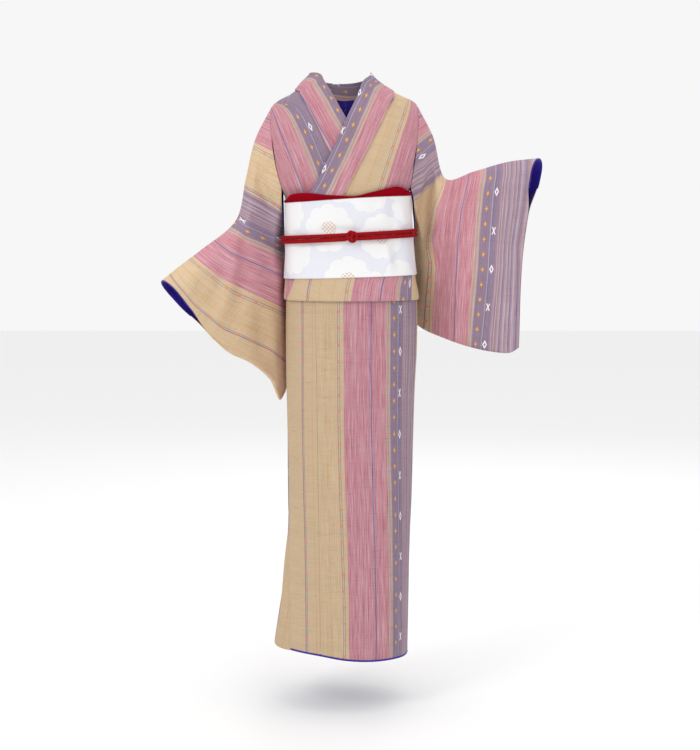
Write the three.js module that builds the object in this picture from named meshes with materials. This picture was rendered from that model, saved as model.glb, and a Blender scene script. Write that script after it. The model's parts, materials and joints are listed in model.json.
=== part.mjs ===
import * as THREE from 'three';

// A lined silk kimono as it is worn, left front over right, with its belt.
// Millimetres. X runs to the viewer's right, Y to the back and Z up.
// The origin lies between the shoulders, in the middle of the neck.
// The wearer's left is the viewer's right.

// Driving dimensions
const clothWall = 1.6;
const collarWall = 2.2;
const collarLiftOnFront = 3.0;
const beltWall = 3.4;
const seamGap = 0.3;
const layerGap = 0.4;
const underlap = 8;
const overFrontLift = 6.4;
const overWaistLift = 4.0;
const skirtOverLift = 3.6;
const foldLine = -447;
const foldWall = 2.0;
const foldLift = 2.2;
const skirtTop = -424;
const rolledEdge = 3.5;
const cuffLiningDepth = 55;
const degree = Math.PI / 180;
const sideRadius = 150;
const backRadius = 95;
const skirtBackRadius = 110;

// The form under the cloth, one ring a row: how far it reaches to the viewer's left and right,
// to the front and to the back, and how square the ring is.
const formRings = [
  { z: 50, left: -70, right: 50, front: 46, back: 84, square: 2.2 },
  { z: 37, left: -79, right: 58, front: 52, back: 88, square: 2.2 },
  { z: 29, left: -87, right: 65, front: 56, back: 90, square: 2.2 },
  { z: 20, left: -96, right: 77, front: 60, back: 91, square: 2.25 },
  { z: 11, left: -104, right: 91, front: 65, back: 92, square: 2.3 },
  { z: 2, left: -116, right: 109, front: 70, back: 93, square: 2.35 },
  { z: -7, left: -132, right: 129, front: 75, back: 94, square: 2.4 },
  { z: -15, left: -147, right: 146, front: 80, back: 95, square: 2.5 },
  { z: -24, left: -158, right: 156, front: 85, back: 96, square: 2.6 },
  { z: -34, left: -167, right: 164, front: 90, back: 97, square: 2.7 },
  { z: -60, left: -176, right: 172, front: 99, back: 99, square: 2.8 },
  { z: -90, left: -176, right: 172, front: 106, back: 101, square: 2.8 },
  { z: -119, left: -172, right: 168, front: 111, back: 102, square: 2.8 },
  { z: -165, left: -159, right: 157, front: 114, back: 102, square: 2.7 },
  { z: -195, left: -149, right: 149, front: 113, back: 100, square: 2.6 },
  { z: -213, left: -137, right: 138, front: 110, back: 98, square: 2.55 },
  { z: -232, left: -127, right: 136, front: 107, back: 96, square: 2.5 },
  { z: -265, left: -126, right: 139, front: 105, back: 95, square: 2.5 },
  { z: -330, left: -126, right: 144, front: 105, back: 97, square: 2.5 },
  { z: -400, left: -127, right: 149, front: 109, back: 102, square: 2.5 },
  { z: -445, left: -130, right: 157, front: 111, back: 106, square: 2.5 },
  { z: -560, left: -131, right: 157, front: 111, back: 113, square: 2.5 },
  { z: -640, left: -130, right: 153, front: 111, back: 113, square: 2.5 },
  { z: -750, left: -128, right: 150, front: 111, back: 111, square: 2.45 },
  { z: -888, left: -127, right: 147, front: 111, back: 109, square: 2.4 },
  { z: -957, left: -128, right: 144, front: 112, back: 108, square: 2.4 },
  { z: -1026, left: -134, right: 142, front: 112, back: 108, square: 2.35 },
  { z: -1095, left: -141, right: 141, front: 113, back: 109, square: 2.3 },
  { z: -1164, left: -151, right: 140, front: 115, back: 110, square: 2.3 },
  { z: -1222, left: -160, right: 139, front: 117, back: 112, square: 2.3 },
  { z: -1250, left: -163, right: 139, front: 118, back: 113, square: 2.3 },
];

// A smooth curve through one column of a table.
function columnCurve(rows, along, column) {
  function slope(index) {
    const before = rows[Math.max(index - 1, 0)];
    const after = rows[Math.min(index + 1, rows.length - 1)];
    return (after[column] - before[column]) / (after[along] - before[along]);
  }
  const rising = rows[rows.length - 1][along] > rows[0][along] ? 1 : -1;
  return function valueAt(place) {
    let index = 0;
    while (index < rows.length - 2 && (place - rows[index + 1][along]) * rising > 0) {
      index += 1;
    }
    const start = rows[index];
    const end = rows[index + 1];
    const span = end[along] - start[along];
    const t = THREE.MathUtils.clamp((place - start[along]) / span, 0, 1);
    const t2 = t * t;
    const t3 = t2 * t;
    return (2 * t3 - 3 * t2 + 1) * start[column] + (t3 - 2 * t2 + t) * span * slope(index)
      + (3 * t2 - 2 * t3) * end[column] + (t3 - t2) * span * slope(index + 1);
  };
}

const leftReach = columnCurve(formRings, 'z', 'left');
const rightReach = columnCurve(formRings, 'z', 'right');
const frontReach = columnCurve(formRings, 'z', 'front');
const backReach = columnCurve(formRings, 'z', 'back');
const squareness = columnCurve(formRings, 'z', 'square');

// Angles run from the middle of the front, 0, to the viewer's right, 90, and the back, 180.
function formPoint(angle, z) {
  const centre = (leftReach(z) + rightReach(z)) / 2;
  const width = (rightReach(z) - leftReach(z)) / 2;
  const sine = Math.sin(angle * degree);
  const cosine = Math.cos(angle * degree);
  const depth = cosine > 0 ? frontReach(z) : backReach(z);
  const power = squareness(z);
  const across = Math.abs(sine / width) ** power;
  const along = Math.abs(cosine / depth) ** power;
  const radius = (across + along) ** (-1 / power);
  return new THREE.Vector3(centre + radius * sine, -radius * cosine, z);
}

// A point on the form moved out along its normal.
function onForm(angle, z, lift) {
  const turn = formPoint(angle + 0.5, z).sub(formPoint(angle - 0.5, z));
  const rise = formPoint(angle, z + 1).sub(formPoint(angle, z - 1));
  const normal = turn.cross(rise).normalize();
  return formPoint(angle, z).addScaledVector(normal, lift);
}

// The angle at which a ring passes a given X, at the front or at the back.
function angleAt(x, z, facing) {
  const centre = (leftReach(z) + rightReach(z)) / 2;
  const width = (rightReach(z) - leftReach(z)) / 2;
  const share = Math.min(Math.abs(x - centre) / width, 0.985);
  const power = squareness(z);
  const depth = facing === 'front' ? frontReach(z) : backReach(z);
  const y = depth * (1 - share ** power) ** (1 / power);
  const across = Math.sign(x - centre) * share * width;
  return Math.atan2(across, facing === 'front' ? y : -y) / degree;
}

function smoothStep(low, high, value) {
  return THREE.MathUtils.smoothstep(value, low, high);
}

function mix(a, b, share) {
  return a + (b - a) * share;
}

// Solids from grids of points

const kimono = new THREE.Group();

function addMesh(name, geometry, finish) {
  geometry.computeVertexNormals();
  const mesh = new THREE.Mesh(geometry, new THREE.MeshStandardMaterial(finish));
  mesh.name = name;
  kimono.add(mesh);
}

function geometryOf(points, triangles) {
  let volume = 0;
  for (const [a, b, c] of triangles) {
    volume += points[a].dot(points[b].clone().cross(points[c]));
  }
  const index = [];
  for (const [a, b, c] of triangles) {
    index.push(a, ...(volume > 0 ? [b, c] : [c, b]));
  }
  const geometry = new THREE.BufferGeometry();
  const numbers = points.flatMap((point) => point.toArray());
  geometry.setAttribute('position', new THREE.Float32BufferAttribute(numbers, 3));
  geometry.setIndex(index);
  return geometry;
}

function quad(triangles, a, b, c, d) {
  triangles.push([a, b, c], [a, c, d]);
}

// A wall between an outer and an inner grid. A round wall closes on itself along its columns.
function wallBetween(outer, inner, round) {
  const rows = outer.length;
  const columns = outer[0].length;
  const points = [...outer.flat(), ...inner.flat()];
  const triangles = [];
  function at(side, row, column) {
    return side * rows * columns + row * columns + (column % columns);
  }
  const lastColumn = round ? columns : columns - 1;
  for (let row = 0; row < rows - 1; row += 1) {
    for (let column = 0; column < lastColumn; column += 1) {
      const beside = column + 1;
      const below = row + 1;
      quad(triangles, at(0, row, column), at(0, row, beside), at(0, below, beside), at(0, below, column));
      quad(triangles, at(1, row, column), at(1, below, column), at(1, below, beside), at(1, row, beside));
    }
  }
  for (let column = 0; column < lastColumn; column += 1) {
    quad(triangles, at(0, 0, column), at(1, 0, column), at(1, 0, column + 1), at(0, 0, column + 1));
    const end = rows - 1;
    quad(triangles, at(0, end, column), at(0, end, column + 1), at(1, end, column + 1), at(1, end, column));
  }
  if (!round) {
    const end = columns - 1;
    for (let row = 0; row < rows - 1; row += 1) {
      quad(triangles, at(0, row, 0), at(0, row + 1, 0), at(1, row + 1, 0), at(1, row, 0));
      quad(triangles, at(0, row, end), at(1, row, end), at(1, row + 1, end), at(0, row + 1, end));
    }
  }
  return geometryOf(points, triangles);
}

// A ring of closed sections, such as a cord that runs right round.
function closedLoop(sections) {
  const around = sections[0].length;
  const points = sections.flat();
  const triangles = [];
  for (let row = 0; row < sections.length; row += 1) {
    const next = (row + 1) % sections.length;
    for (let column = 0; column < around; column += 1) {
      const beside = (column + 1) % around;
      const start = row * around;
      const end = next * around;
      quad(triangles, start + column, start + beside, end + beside, end + column);
    }
  }
  return geometryOf(points, triangles);
}

// A panel of cloth on the form, between two edges given as angles at each level.
function formPanel({ levels, from, to, columns, inside, outside }) {
  const outer = [];
  const inner = [];
  for (const level of levels) {
    const outerRow = [];
    const innerRow = [];
    for (let column = 0; column <= columns; column += 1) {
      const angle = mix(from(level), to(level), column / columns);
      const z = typeof level === 'number' ? level : level.z(angle);
      outerRow.push(onForm(angle, z, outside(angle, z)));
      innerRow.push(onForm(angle, z, inside(angle, z)));
    }
    outer.push(outerRow);
    inner.push(innerRow);
  }
  return wallBetween(outer, inner, false);
}

// Colours and finishes
const pinkStripe = { color: 0xc98a9a, roughness: 0.85, metalness: 0 };
const beigeStripe = { color: 0xcdb48a, roughness: 0.85, metalness: 0 };
const purpleStripe = { color: 0x8f7f9c, roughness: 0.85, metalness: 0 };
const indigoLining = { color: 0x3a2a8c, roughness: 0.7, metalness: 0 };
const whiteBelt = { color: 0xe9e8ea, roughness: 0.6, metalness: 0 };
const crimsonScarf = { color: 0xa00d22, roughness: 0.8, metalness: 0 };
const redCord = { color: 0xa8152a, roughness: 0.65, metalness: 0 };

// Armholes: where each sleeve meets the body, from the shoulder down.
const armholeTop = -26;
const armholeGap = 1.2;
const armholeBottom = -198;
const sideClosed = -214;
const armholes = {
  right: [
    { z: -26, x: -159 },
    { z: -60, x: -161 },
    { z: -119, x: -156 },
    { z: -165, x: -148 },
    { z: -198, x: -139 },
  ],
  left: [
    { z: -26, x: 156 },
    { z: -60, x: 157 },
    { z: -119, x: 153 },
    { z: -165, x: 147 },
    { z: -198, x: 141 },
  ],
};
const armholeX = {
  right: columnCurve(armholes.right, 'z', 'x'),
  left: columnCurve(armholes.left, 'z', 'x'),
};
const sideSign = { right: -1, left: 1 };

// The angle of a body panel's edge at the shoulder, the armhole and the side.
function sideAngle(side, facing, z) {
  const sign = sideSign[side];
  const shift = (seamGap / 2 / sideRadius / degree) * (facing === 'front' ? -1 : 1);
  const closed = sign * (90 + shift);
  if (z > armholeTop || z < sideClosed) {
    return closed;
  }
  const edge = angleAt(armholeX[side](Math.max(z, armholeBottom)), Math.max(z, armholeBottom), facing);
  if (z >= armholeBottom) {
    return edge;
  }
  return mix(edge, closed, smoothStep(armholeBottom, sideClosed, z));
}

// The fronts' slanting edges under the collar, from the shoulder down to the waist and fold.
const rightFrontEdge = columnCurve([
  { z: 12, x: -98 },
  { z: -2, x: -96 },
  { z: -28, x: -84 },
  { z: -64, x: -65 },
  { z: -98, x: -48 },
  { z: -132, x: -30 },
  { z: -168, x: -8 },
  { z: -205, x: 12 },
  { z: -250, x: 30 },
  { z: -447, x: 70 },
], 'z', 'x');
const leftFrontEdge = columnCurve([
  { z: 12, x: 85 },
  { z: -2, x: 101 },
  { z: -34, x: 92 },
  { z: -71, x: 74 },
  { z: -110, x: 54 },
  { z: -146, x: 36 },
  { z: -182, x: 16 },
  { z: -218, x: -3 },
  { z: -252, x: -26 },
  { z: -300, x: -60 },
  { z: -345, x: -88 },
  { z: -400, x: -102 },
  { z: -425, x: -109 },
  { z: -447, x: -119 },
], 'z', 'x');

// The left front lies on the right one and comes down to the form where the right one ends.
function overShare(angle, start, end) {
  return 1 - smoothStep(start, end, angle);
}

const overFade = { start: 36, end: 60 };

// How far the body cloth is pushed out where it folds over the skirt below the belt.
function foldShare(z) {
  return 1 - smoothStep(-400, -340, z);
}

function roundBottom(z) {
  return Math.max(0, 1 - (z - foldLine) / 5) ** 2;
}

// The left front stands off the right one by the under collar, which ends at the waist.
function overLift(z) {
  return mix(overWaistLift, overFrontLift, smoothStep(-236, -212, z));
}

const rightFrontInside = (angle, z) => foldShare(z) * mix(foldLift, foldLift + 3.8, overShare(-angle, 75, 88));
const leftFrontInside = (angle, z) => {
  const share = overShare(angle, overFade.start, overFade.end);
  const onFold = mix(foldLift, foldLift + 8.2, overShare(angle, 60, 89));
  return mix(overLift(z) * share, onFold, foldShare(z));
};
const backInside = (angle, z) => foldShare(z) * foldLift;

function bodyWall(z) {
  return mix(clothWall, foldWall, foldShare(z)) - 0.9 * roundBottom(z);
}

const bodyLevels = [12, 6, 0, -6, -14, -24, -32, -44, -64, -92, -125, -160, -180, -198, -206, -214, -232,
  -262, -292, -325, -350, -375, -400, -424, -441, foldLine];

function addBodyFront(side, edge, inside, finish) {
  const shift = -sideSign[side] * underlap;
  addMesh(`${side}_front`, formPanel({
    levels: bodyLevels,
    from: (z) => sideAngle(side, 'front', z),
    to: (z) => angleAt(edge(z) + (z > sideClosed ? shift : 0), z, 'front'),
    columns: 14,
    inside,
    outside: (angle, z) => inside(angle, z) + bodyWall(z),
  }), finish);
}

// The back pieces rise to the neck seam and meet at the middle of the back.
const neckEdge = [
  { z: 12, angle: 98 },
  { z: 6, angle: 118 },
  { z: 0, angle: 140 },
  { z: -6, angle: 180 },
];

function addBodyBack(side, finish) {
  const sign = sideSign[side];
  const middle = 180 - seamGap / 2 / backRadius / degree;
  const neck = columnCurve(neckEdge, 'z', 'angle');
  addMesh(`${side}_back`, formPanel({
    levels: bodyLevels,
    from: (z) => sideAngle(side, 'back', z),
    to: (z) => sign * (z > -6 ? Math.min(neck(z), middle) : middle),
    columns: 7,
    inside: backInside,
    outside: (angle, z) => backInside(angle, z) + bodyWall(z),
  }), finish);
}

// The collar: one long folded band from the right front, round the neck and down the left front.
// Its inner edge frames the neck; its outer edge is the seam.
const collarUnder = [
  { innerX: 64, innerZ: -173, outerX: 12, outerZ: -205 },
  { innerX: 42, innerZ: -133, outerX: -8, outerZ: -168 },
  { innerX: 20, innerZ: -90, outerX: -30, outerZ: -132 },
  { innerX: 3, innerZ: -59, outerX: -48, outerZ: -98 },
  { innerX: -14, innerZ: -30, outerX: -65, outerZ: -64 },
  { innerX: -29, innerZ: -3, outerX: -84, outerZ: -28 },
  { innerX: -45, innerZ: 24, outerX: -96, outerZ: -4 },
];
const collarNeck = [
  { angle: -90, innerZ: 46, outerZ: 8 },
  { angle: -112, innerZ: 43, outerZ: 3 },
  { angle: -140, innerZ: 36, outerZ: -6 },
  { angle: -162, innerZ: 32, outerZ: -11 },
  { angle: -180, innerZ: 31, outerZ: -12 },
  { angle: -198, innerZ: 32, outerZ: -11 },
  { angle: -220, innerZ: 36, outerZ: -6 },
  { angle: -248, innerZ: 43, outerZ: 3 },
  { angle: -270, innerZ: 47, outerZ: 8 },
];
const collarOver = [
  { innerX: 42, innerZ: 29, outerX: 104, outerZ: -6 },
  { innerX: 30, innerZ: 1, outerX: 92, outerZ: -34 },
  { innerX: 12, innerZ: -40, outerX: 74, outerZ: -71 },
  { innerX: -5, innerZ: -78, outerX: 56, outerZ: -107 },
  { innerX: -23, innerZ: -116, outerX: 36, outerZ: -146 },
  { innerX: -41, innerZ: -153, outerX: 16, outerZ: -182 },
  { innerX: -59, innerZ: -190, outerX: -3, outerZ: -218 },
  { innerX: -76, innerZ: -226, outerX: -22, outerZ: -252 },
];

function frontRow(row, turn) {
  return {
    inner: new THREE.Vector2(angleAt(row.innerX, row.innerZ, 'front') + turn, row.innerZ),
    outer: new THREE.Vector2(angleAt(row.outerX, row.outerZ, 'front') + turn, row.outerZ),
  };
}

function neckRow(row) {
  return {
    inner: new THREE.Vector2(row.angle, row.innerZ),
    outer: new THREE.Vector2(row.angle, row.outerZ),
  };
}

const collarRows = [
  ...collarUnder.map((row) => frontRow(row, 0)),
  ...collarNeck.map(neckRow),
  ...collarOver.map((row) => frontRow(row, -360)),
];

function collarLift(angle, z) {
  const onLeftFront = angle < -270;
  const share = overShare(angle + 360, overFade.start, overFade.end);
  return collarLiftOnFront + (onLeftFront ? overLift(z) * share : 0);
}

function addCollar(name, firstRow, lastRow, stepsPerRow, startGap, endGap, finish) {
  const innerEdge = new THREE.SplineCurve(collarRows.map((row) => row.inner));
  const outerEdge = new THREE.SplineCurve(collarRows.map((row) => row.outer));
  const across = 4;
  const outer = [];
  const inner = [];
  const first = firstRow / (collarRows.length - 1) + startGap;
  const last = lastRow / (collarRows.length - 1) - endGap;
  const steps = (lastRow - firstRow) * stepsPerRow;
  for (let step = 0; step <= steps; step += 1) {
    const along = mix(first, last, step / steps);
    const edge = innerEdge.getPoint(along);
    const seam = outerEdge.getPoint(along);
    const outerRow = [];
    const innerRow = [];
    for (let column = 0; column <= across; column += 1) {
      const share = column / across;
      const place = edge.clone().lerp(seam, share);
      const lift = collarLift(place.x, place.y);
      const crown = 0.5 * Math.sin(Math.PI * share);
      outerRow.push(onForm(place.x, place.y, lift + collarWall + crown));
      innerRow.push(onForm(place.x, place.y, lift));
    }
    outer.push(outerRow);
    inner.push(innerRow);
  }
  addMesh(name, wallBetween(outer, inner, false), finish);
}

// The skirt
const hemOver = columnCurve([
  { x: -130, z: -1215 },
  { x: -60, z: -1222 },
  { x: 0, z: -1232 },
  { x: 54, z: -1236.5 },
  { x: 110, z: -1238 },
  { x: 145, z: -1240 },
], 'x', 'z');
const hemUnder = columnCurve([
  { x: -165, z: -1223 },
  { x: -122, z: -1221 },
  { x: -90, z: -1213 },
  { x: -30, z: -1216 },
  { x: 100, z: -1226 },
], 'x', 'z');
const hemBack = columnCurve([
  { x: -165, z: -1223 },
  { x: -80, z: -1230 },
  { x: 0, z: -1236 },
  { x: 145, z: -1240 },
], 'x', 'z');

const skirtShares = [0, 0.12, 0.26, 0.42, 0.58, 0.72, 0.84, 0.93, 1];

function skirtLevels(hem) {
  return skirtShares.map((share) => ({
    share,
    z: (angle) => mix(skirtTop, hem(formPoint(angle, -1225).x), share),
  }));
}

// Each edge down the skirt, as an X at the waist and at the hem.
const okumiSeamX = { top: -63, hem: -54 };
const overEdgeX = { top: -122, middle: -124, hem: -121 };
const underSeamX = { top: 66, hem: 60 };
const underEdgeX = { top: 122, hem: 112 };

function seamAngle(edge, share, shift) {
  const z = mix(skirtTop, -1230, share);
  const middle = edge.middle ?? (edge.top + edge.hem) / 2;
  const x = share < 0.5 ? mix(edge.top, middle, share * 2) : mix(middle, edge.hem, share * 2 - 1);
  return angleAt(x + shift, z, 'front');
}

const halfGap = seamGap / 2;
const sideHalfGap = halfGap / sideRadius / degree;
const overSkirtInside = (angle) => skirtOverLift * overShare(angle, 62, 86);

function addSkirtPanel(name, hem, from, to, columns, inside, finish) {
  addMesh(name, formPanel({
    levels: skirtLevels(hem),
    from: (level) => from(level.share),
    to: (level) => to(level.share),
    columns,
    inside,
    outside: (angle, z) => inside(angle, z) + clothWall,
  }), finish);
}

function addSkirt() {
  const flat = () => 0;
  const backMiddle = 180 - halfGap / skirtBackRadius / degree;
  addSkirtPanel('left_front_skirt', hemOver, (share) => seamAngle(okumiSeamX, share, halfGap),
    () => 90 - sideHalfGap, 13, overSkirtInside, pinkStripe);
  addSkirtPanel('left_okumi_skirt', hemOver, (share) => seamAngle(overEdgeX, share, 0),
    (share) => seamAngle(okumiSeamX, share, -halfGap), 5, overSkirtInside, beigeStripe);
  addSkirtPanel('right_front_skirt', hemUnder, () => -90 + sideHalfGap,
    (share) => seamAngle(underSeamX, share, -halfGap), 13, flat, beigeStripe);
  addSkirtPanel('right_okumi_skirt', hemUnder, (share) => seamAngle(underSeamX, share, halfGap),
    (share) => seamAngle(underEdgeX, share, 0), 4, flat, beigeStripe);
  addSkirtPanel('right_back_skirt', hemBack, () => -backMiddle, () => -90 - sideHalfGap, 7, flat, beigeStripe);
  addSkirtPanel('left_back_skirt', hemBack, () => 90 + sideHalfGap, () => backMiddle, 7, flat, pinkStripe);
}

// The lining shows as a rolled edge under the left front's hem. Each row is a height over the
// hem, with the lift of the roll's two faces from the panel's inner face.
const hemRollRows = [
  { height: -0.3, inside: 0, outside: 1.7 },
  { height: -1.6, inside: -0.5, outside: 2.0 },
  { height: -rolledEdge, inside: 0.3, outside: 1.2 },
];

function addHemLining() {
  const columns = 18;
  const start = seamAngle(overEdgeX, 1, 1);
  const end = 84;
  const outer = [];
  const inner = [];
  for (const row of hemRollRows) {
    const outerRow = [];
    const innerRow = [];
    for (let column = 0; column <= columns; column += 1) {
      const angle = mix(start, end, column / columns);
      const z = hemOver(formPoint(angle, -1225).x) + row.height;
      outerRow.push(onForm(angle, z, overSkirtInside(angle) + row.outside));
      innerRow.push(onForm(angle, z, overSkirtInside(angle) + row.inside));
    }
    outer.push(outerRow);
    inner.push(innerRow);
  }
  addMesh('hem_lining', wallBetween(outer, inner, false), indigoLining);
}

// Sleeves

// Below the armhole each sleeve's inner edge hangs open behind the body's side.
const hangingEdge = {
  right: [
    { z: -222, x: -139, front: -44, back: 54 },
    { z: -250, x: -139, front: -22, back: 62 },
    { z: -275, x: -139, front: 22, back: 70 },
    { z: -300, x: -138.5, front: 48, back: 76 },
    { z: -345, x: -138, front: 55, back: 80 },
    { z: -420, x: -136, front: 58, back: 82 },
    { z: -500, x: -133, front: 60, back: 82 },
    { z: -600, x: -132, front: 63, back: 81 },
    { z: -648, x: -132, front: 70.5, back: 75.5 },
  ],
  left: [
    { z: -222, x: 148, front: -42, back: 54 },
    { z: -250, x: 151, front: -16, back: 64 },
    { z: -280, x: 155, front: 36, back: 78 },
    { z: -330, x: 155, front: 66, back: 94 },
    { z: -400, x: 152, front: 78, back: 104 },
    { z: -450, x: 153, front: 84, back: 106 },
    { z: -485, x: 154, front: 88, back: 104 },
    { z: -505, x: 154, front: 94.5, back: 99.5 },
  ],
};

// Sections across each sleeve from the upper arm to the cuff. Each has its top, middle and lowest
// point, half its depth there, the turn of its face, and the share of it that stays open.
const sleeveSections = {
  right: [
    { topX: -197, topY: -2, topZ: -93, midX: -150, midY: 35, midZ: -400, lowX: -138, lowY: 60, lowZ: -664,
      halfTop: 50, halfMid: 24, halfLow: 11, turn: 4, open: 1 },
    { topX: -219, topY: -5, topZ: -181, midX: -166, midY: 28, midZ: -428, lowX: -149, lowY: 50, lowZ: -679,
      halfTop: 44, halfMid: 24, halfLow: 11, turn: 8, open: 1 },
    { topX: -239, topY: -10, topZ: -271, midX: -196, midY: 10, midZ: -430, lowX: -170, lowY: 36, lowZ: -632,
      halfTop: 40, halfMid: 25, halfLow: 11, turn: 16, open: 1 },
    { topX: -311, topY: -48, topZ: -336, midX: -261, midY: -29, midZ: -456, lowX: -213, lowY: 0, lowZ: -590,
      halfTop: 37, halfMid: 25, halfLow: 9, turn: 27, open: 1 },
    { topX: -355, topY: -72, topZ: -370, midX: -303, midY: -53, midZ: -464, lowX: -256, lowY: -28, lowZ: -566,
      halfTop: 36, halfMid: 26, halfLow: 7, turn: 27, open: 1 },
    { topX: -394, topY: -92, topZ: -402, midX: -343, midY: -75, midZ: -467, lowX: -290, lowY: -56, lowZ: -532,
      halfTop: 33, halfMid: 28, halfLow: 2.4, turn: 27, open: 0.96 },
  ],
  left: [
    { topX: 192, topY: -2, topZ: -89, midX: 175, midY: 48, midZ: -320, lowX: 176, lowY: 78, lowZ: -520,
      halfTop: 50, halfMid: 24, halfLow: 11, turn: 4, open: 1 },
    { topX: 221, topY: -8, topZ: -183, midX: 209, midY: 22, midZ: -368, lowX: 206, lowY: 46, lowZ: -532,
      halfTop: 44, halfMid: 24, halfLow: 11, turn: 10, open: 1 },
    { topX: 283, topY: -38, topZ: -167, midX: 270, midY: -18, midZ: -368, lowX: 267, lowY: 4, lowZ: -552,
      halfTop: 39, halfMid: 23, halfLow: 10, turn: 25, open: 1 },
    { topX: 351, topY: -68, topZ: -148, midX: 335, midY: -50, midZ: -366, lowX: 326, lowY: -32, lowZ: -563,
      halfTop: 36, halfMid: 21, halfLow: 8, turn: 27, open: 1 },
    { topX: 392, topY: -86, topZ: -143, midX: 368, midY: -70, midZ: -354, lowX: 362, lowY: -50, lowZ: -563,
      halfTop: 34, halfMid: 16, halfLow: 5, turn: 27, open: 0.6 },
    { topX: 413, topY: -95, topZ: -141, midX: 384, midY: -80, midZ: -345, lowX: 379, lowY: -60, lowZ: -552,
      halfTop: 31, halfMid: 9, halfLow: 2.4, turn: 27, open: 0.3 },
  ],
};
const closedHalf = 2.4;
const sleeveDrops = [0, 0.008, 0.025, 0.055, 0.1, 0.16, 0.23, 0.31, 0.4, 0.5, 0.62, 0.74, 0.86, 0.94, 0.985, 1];

// The armhole and hanging edge, as a section, at a share of the way down.
function armholeSection(side, drop, facing) {
  const hanging = hangingEdge[side];
  const lowest = hanging[hanging.length - 1].z;
  const z = mix(armholeTop - 2, lowest, drop);
  const outward = sideSign[side] * armholeGap;
  if (z >= armholeBottom) {
    const x = armholeX[side](z);
    const point = onForm(angleAt(x, z, facing), z, clothWall);
    point.x = Math.max(Math.abs(point.x), Math.abs(x)) * sideSign[side] + outward;
    if (drop === 0) {
      point.y = 0;
    }
    return point;
  }
  const lowestX = armholeX[side](armholeBottom);
  const edgeY = (face) => onForm(angleAt(lowestX, armholeBottom, face), armholeBottom, clothWall).y;
  const attached = {
    z: armholeBottom,
    x: lowestX,
    front: edgeY('front'),
    back: edgeY('back'),
  };
  const rows = [attached, ...hanging];
  const y = columnCurve(rows, 'z', facing)(z);
  const middle = (hanging[hanging.length - 1].front + hanging[hanging.length - 1].back) / 2;
  return new THREE.Vector3(columnCurve(rows, 'z', 'x')(z) + outward, drop === 1 ? middle : y, z);
}

// A point of one of the table's sections, at a share of the way down its front or back.
function tableSection(section, side, drop, facing) {
  const along = new THREE.CatmullRomCurve3([
    new THREE.Vector3(section.topX, section.topY, section.topZ),
    new THREE.Vector3(section.midX, section.midY, section.midZ),
    new THREE.Vector3(section.lowX, section.lowY, section.lowZ),
  ]);
  const length = along.getLength();
  const point = along.getPoint(drop);
  const topShare = section.halfTop / length;
  const rise = Math.sqrt(1 - (1 - Math.min(drop / topShare, 1)) ** 2);
  const lowShare = section.halfLow / length;
  const fall = Math.sqrt(1 - Math.max((drop - 1 + lowShare) / lowShare, 0) ** 2);
  const upper = mix(section.halfTop, section.halfMid, smoothStep(topShare, 0.5, drop));
  let half = mix(upper, section.halfLow, smoothStep(0.5, 1 - lowShare, drop));
  if (section.open < 1) {
    half = mix(half, Math.min(half, closedHalf), smoothStep(section.open * 0.45, section.open, drop));
  }
  const turn = section.turn * degree * sideSign[side];
  const faceX = -Math.sin(turn);
  const faceY = -Math.cos(turn);
  const depth = half * rise * fall * (facing === 'front' ? 1 : -1);
  return new THREE.Vector3(point.x + faceX * depth, point.y + faceY * depth, point.z);
}

// The sleeve's outer face, as rings from the armhole to the cuff.
function sleeveRings(side, stepsPerSection) {
  const places = [
    ...sleeveDrops.map((drop) => ({ drop, facing: 'front' })),
    ...sleeveDrops.slice(1, -1).reverse().map((drop) => ({ drop, facing: 'back' })),
  ];
  const lines = places.map(({ drop, facing }) => new THREE.CatmullRomCurve3([
    armholeSection(side, drop, facing),
    ...sleeveSections[side].map((section) => tableSection(section, side, drop, facing)),
  ], false, 'centripetal'));
  const steps = sleeveSections[side].length * stepsPerSection;
  const rings = [];
  for (let step = 0; step <= steps; step += 1) {
    rings.push(lines.map((line) => line.getPoint(step / steps)));
  }
  return rings;
}

// The same rings moved in along their normals by a depth.
function ringsMovedIn(rings, depth, outwardSign) {
  const around = rings[0].length;
  return rings.map((ring, row) => ring.map((point, column) => {
    const before = rings[Math.max(row - 1, 0)][column];
    const after = rings[Math.min(row + 1, rings.length - 1)][column];
    const turnBefore = ring[(column + around - 1) % around].clone().sub(point).normalize();
    const turnAfter = ring[(column + 1) % around].clone().sub(point).normalize();
    const turn = turnAfter.sub(turnBefore);
    const normal = turn.cross(after.clone().sub(before)).normalize();
    return point.clone().addScaledVector(normal, -depth * outwardSign);
  }));
}

function addSleeve(side, finish) {
  const outer = sleeveRings(side, 2);
  const inner = ringsMovedIn(outer, clothWall, sideSign[side]);
  addMesh(`${side}_sleeve`, wallBetween(outer, inner, true), finish);
}

// The cuff's lining: a strip inside the opening that rolls out past its edge.
const cuffRollRows = [
  { reach: -cuffLiningDepth, outside: 2.5, inside: 3.4 },
  { reach: -25, outside: 2.5, inside: 3.5 },
  { reach: 0.35, outside: 2.5, inside: 3.5 },
  { reach: 0.6, outside: 0.3, inside: 3.2 },
  { reach: 2.0, outside: 0.5, inside: 3.0 },
  { reach: 3.0, outside: 1.3, inside: 2.2 },
];
const cuffOpenDrop = { right: 0.63, left: 0.17 };

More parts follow.
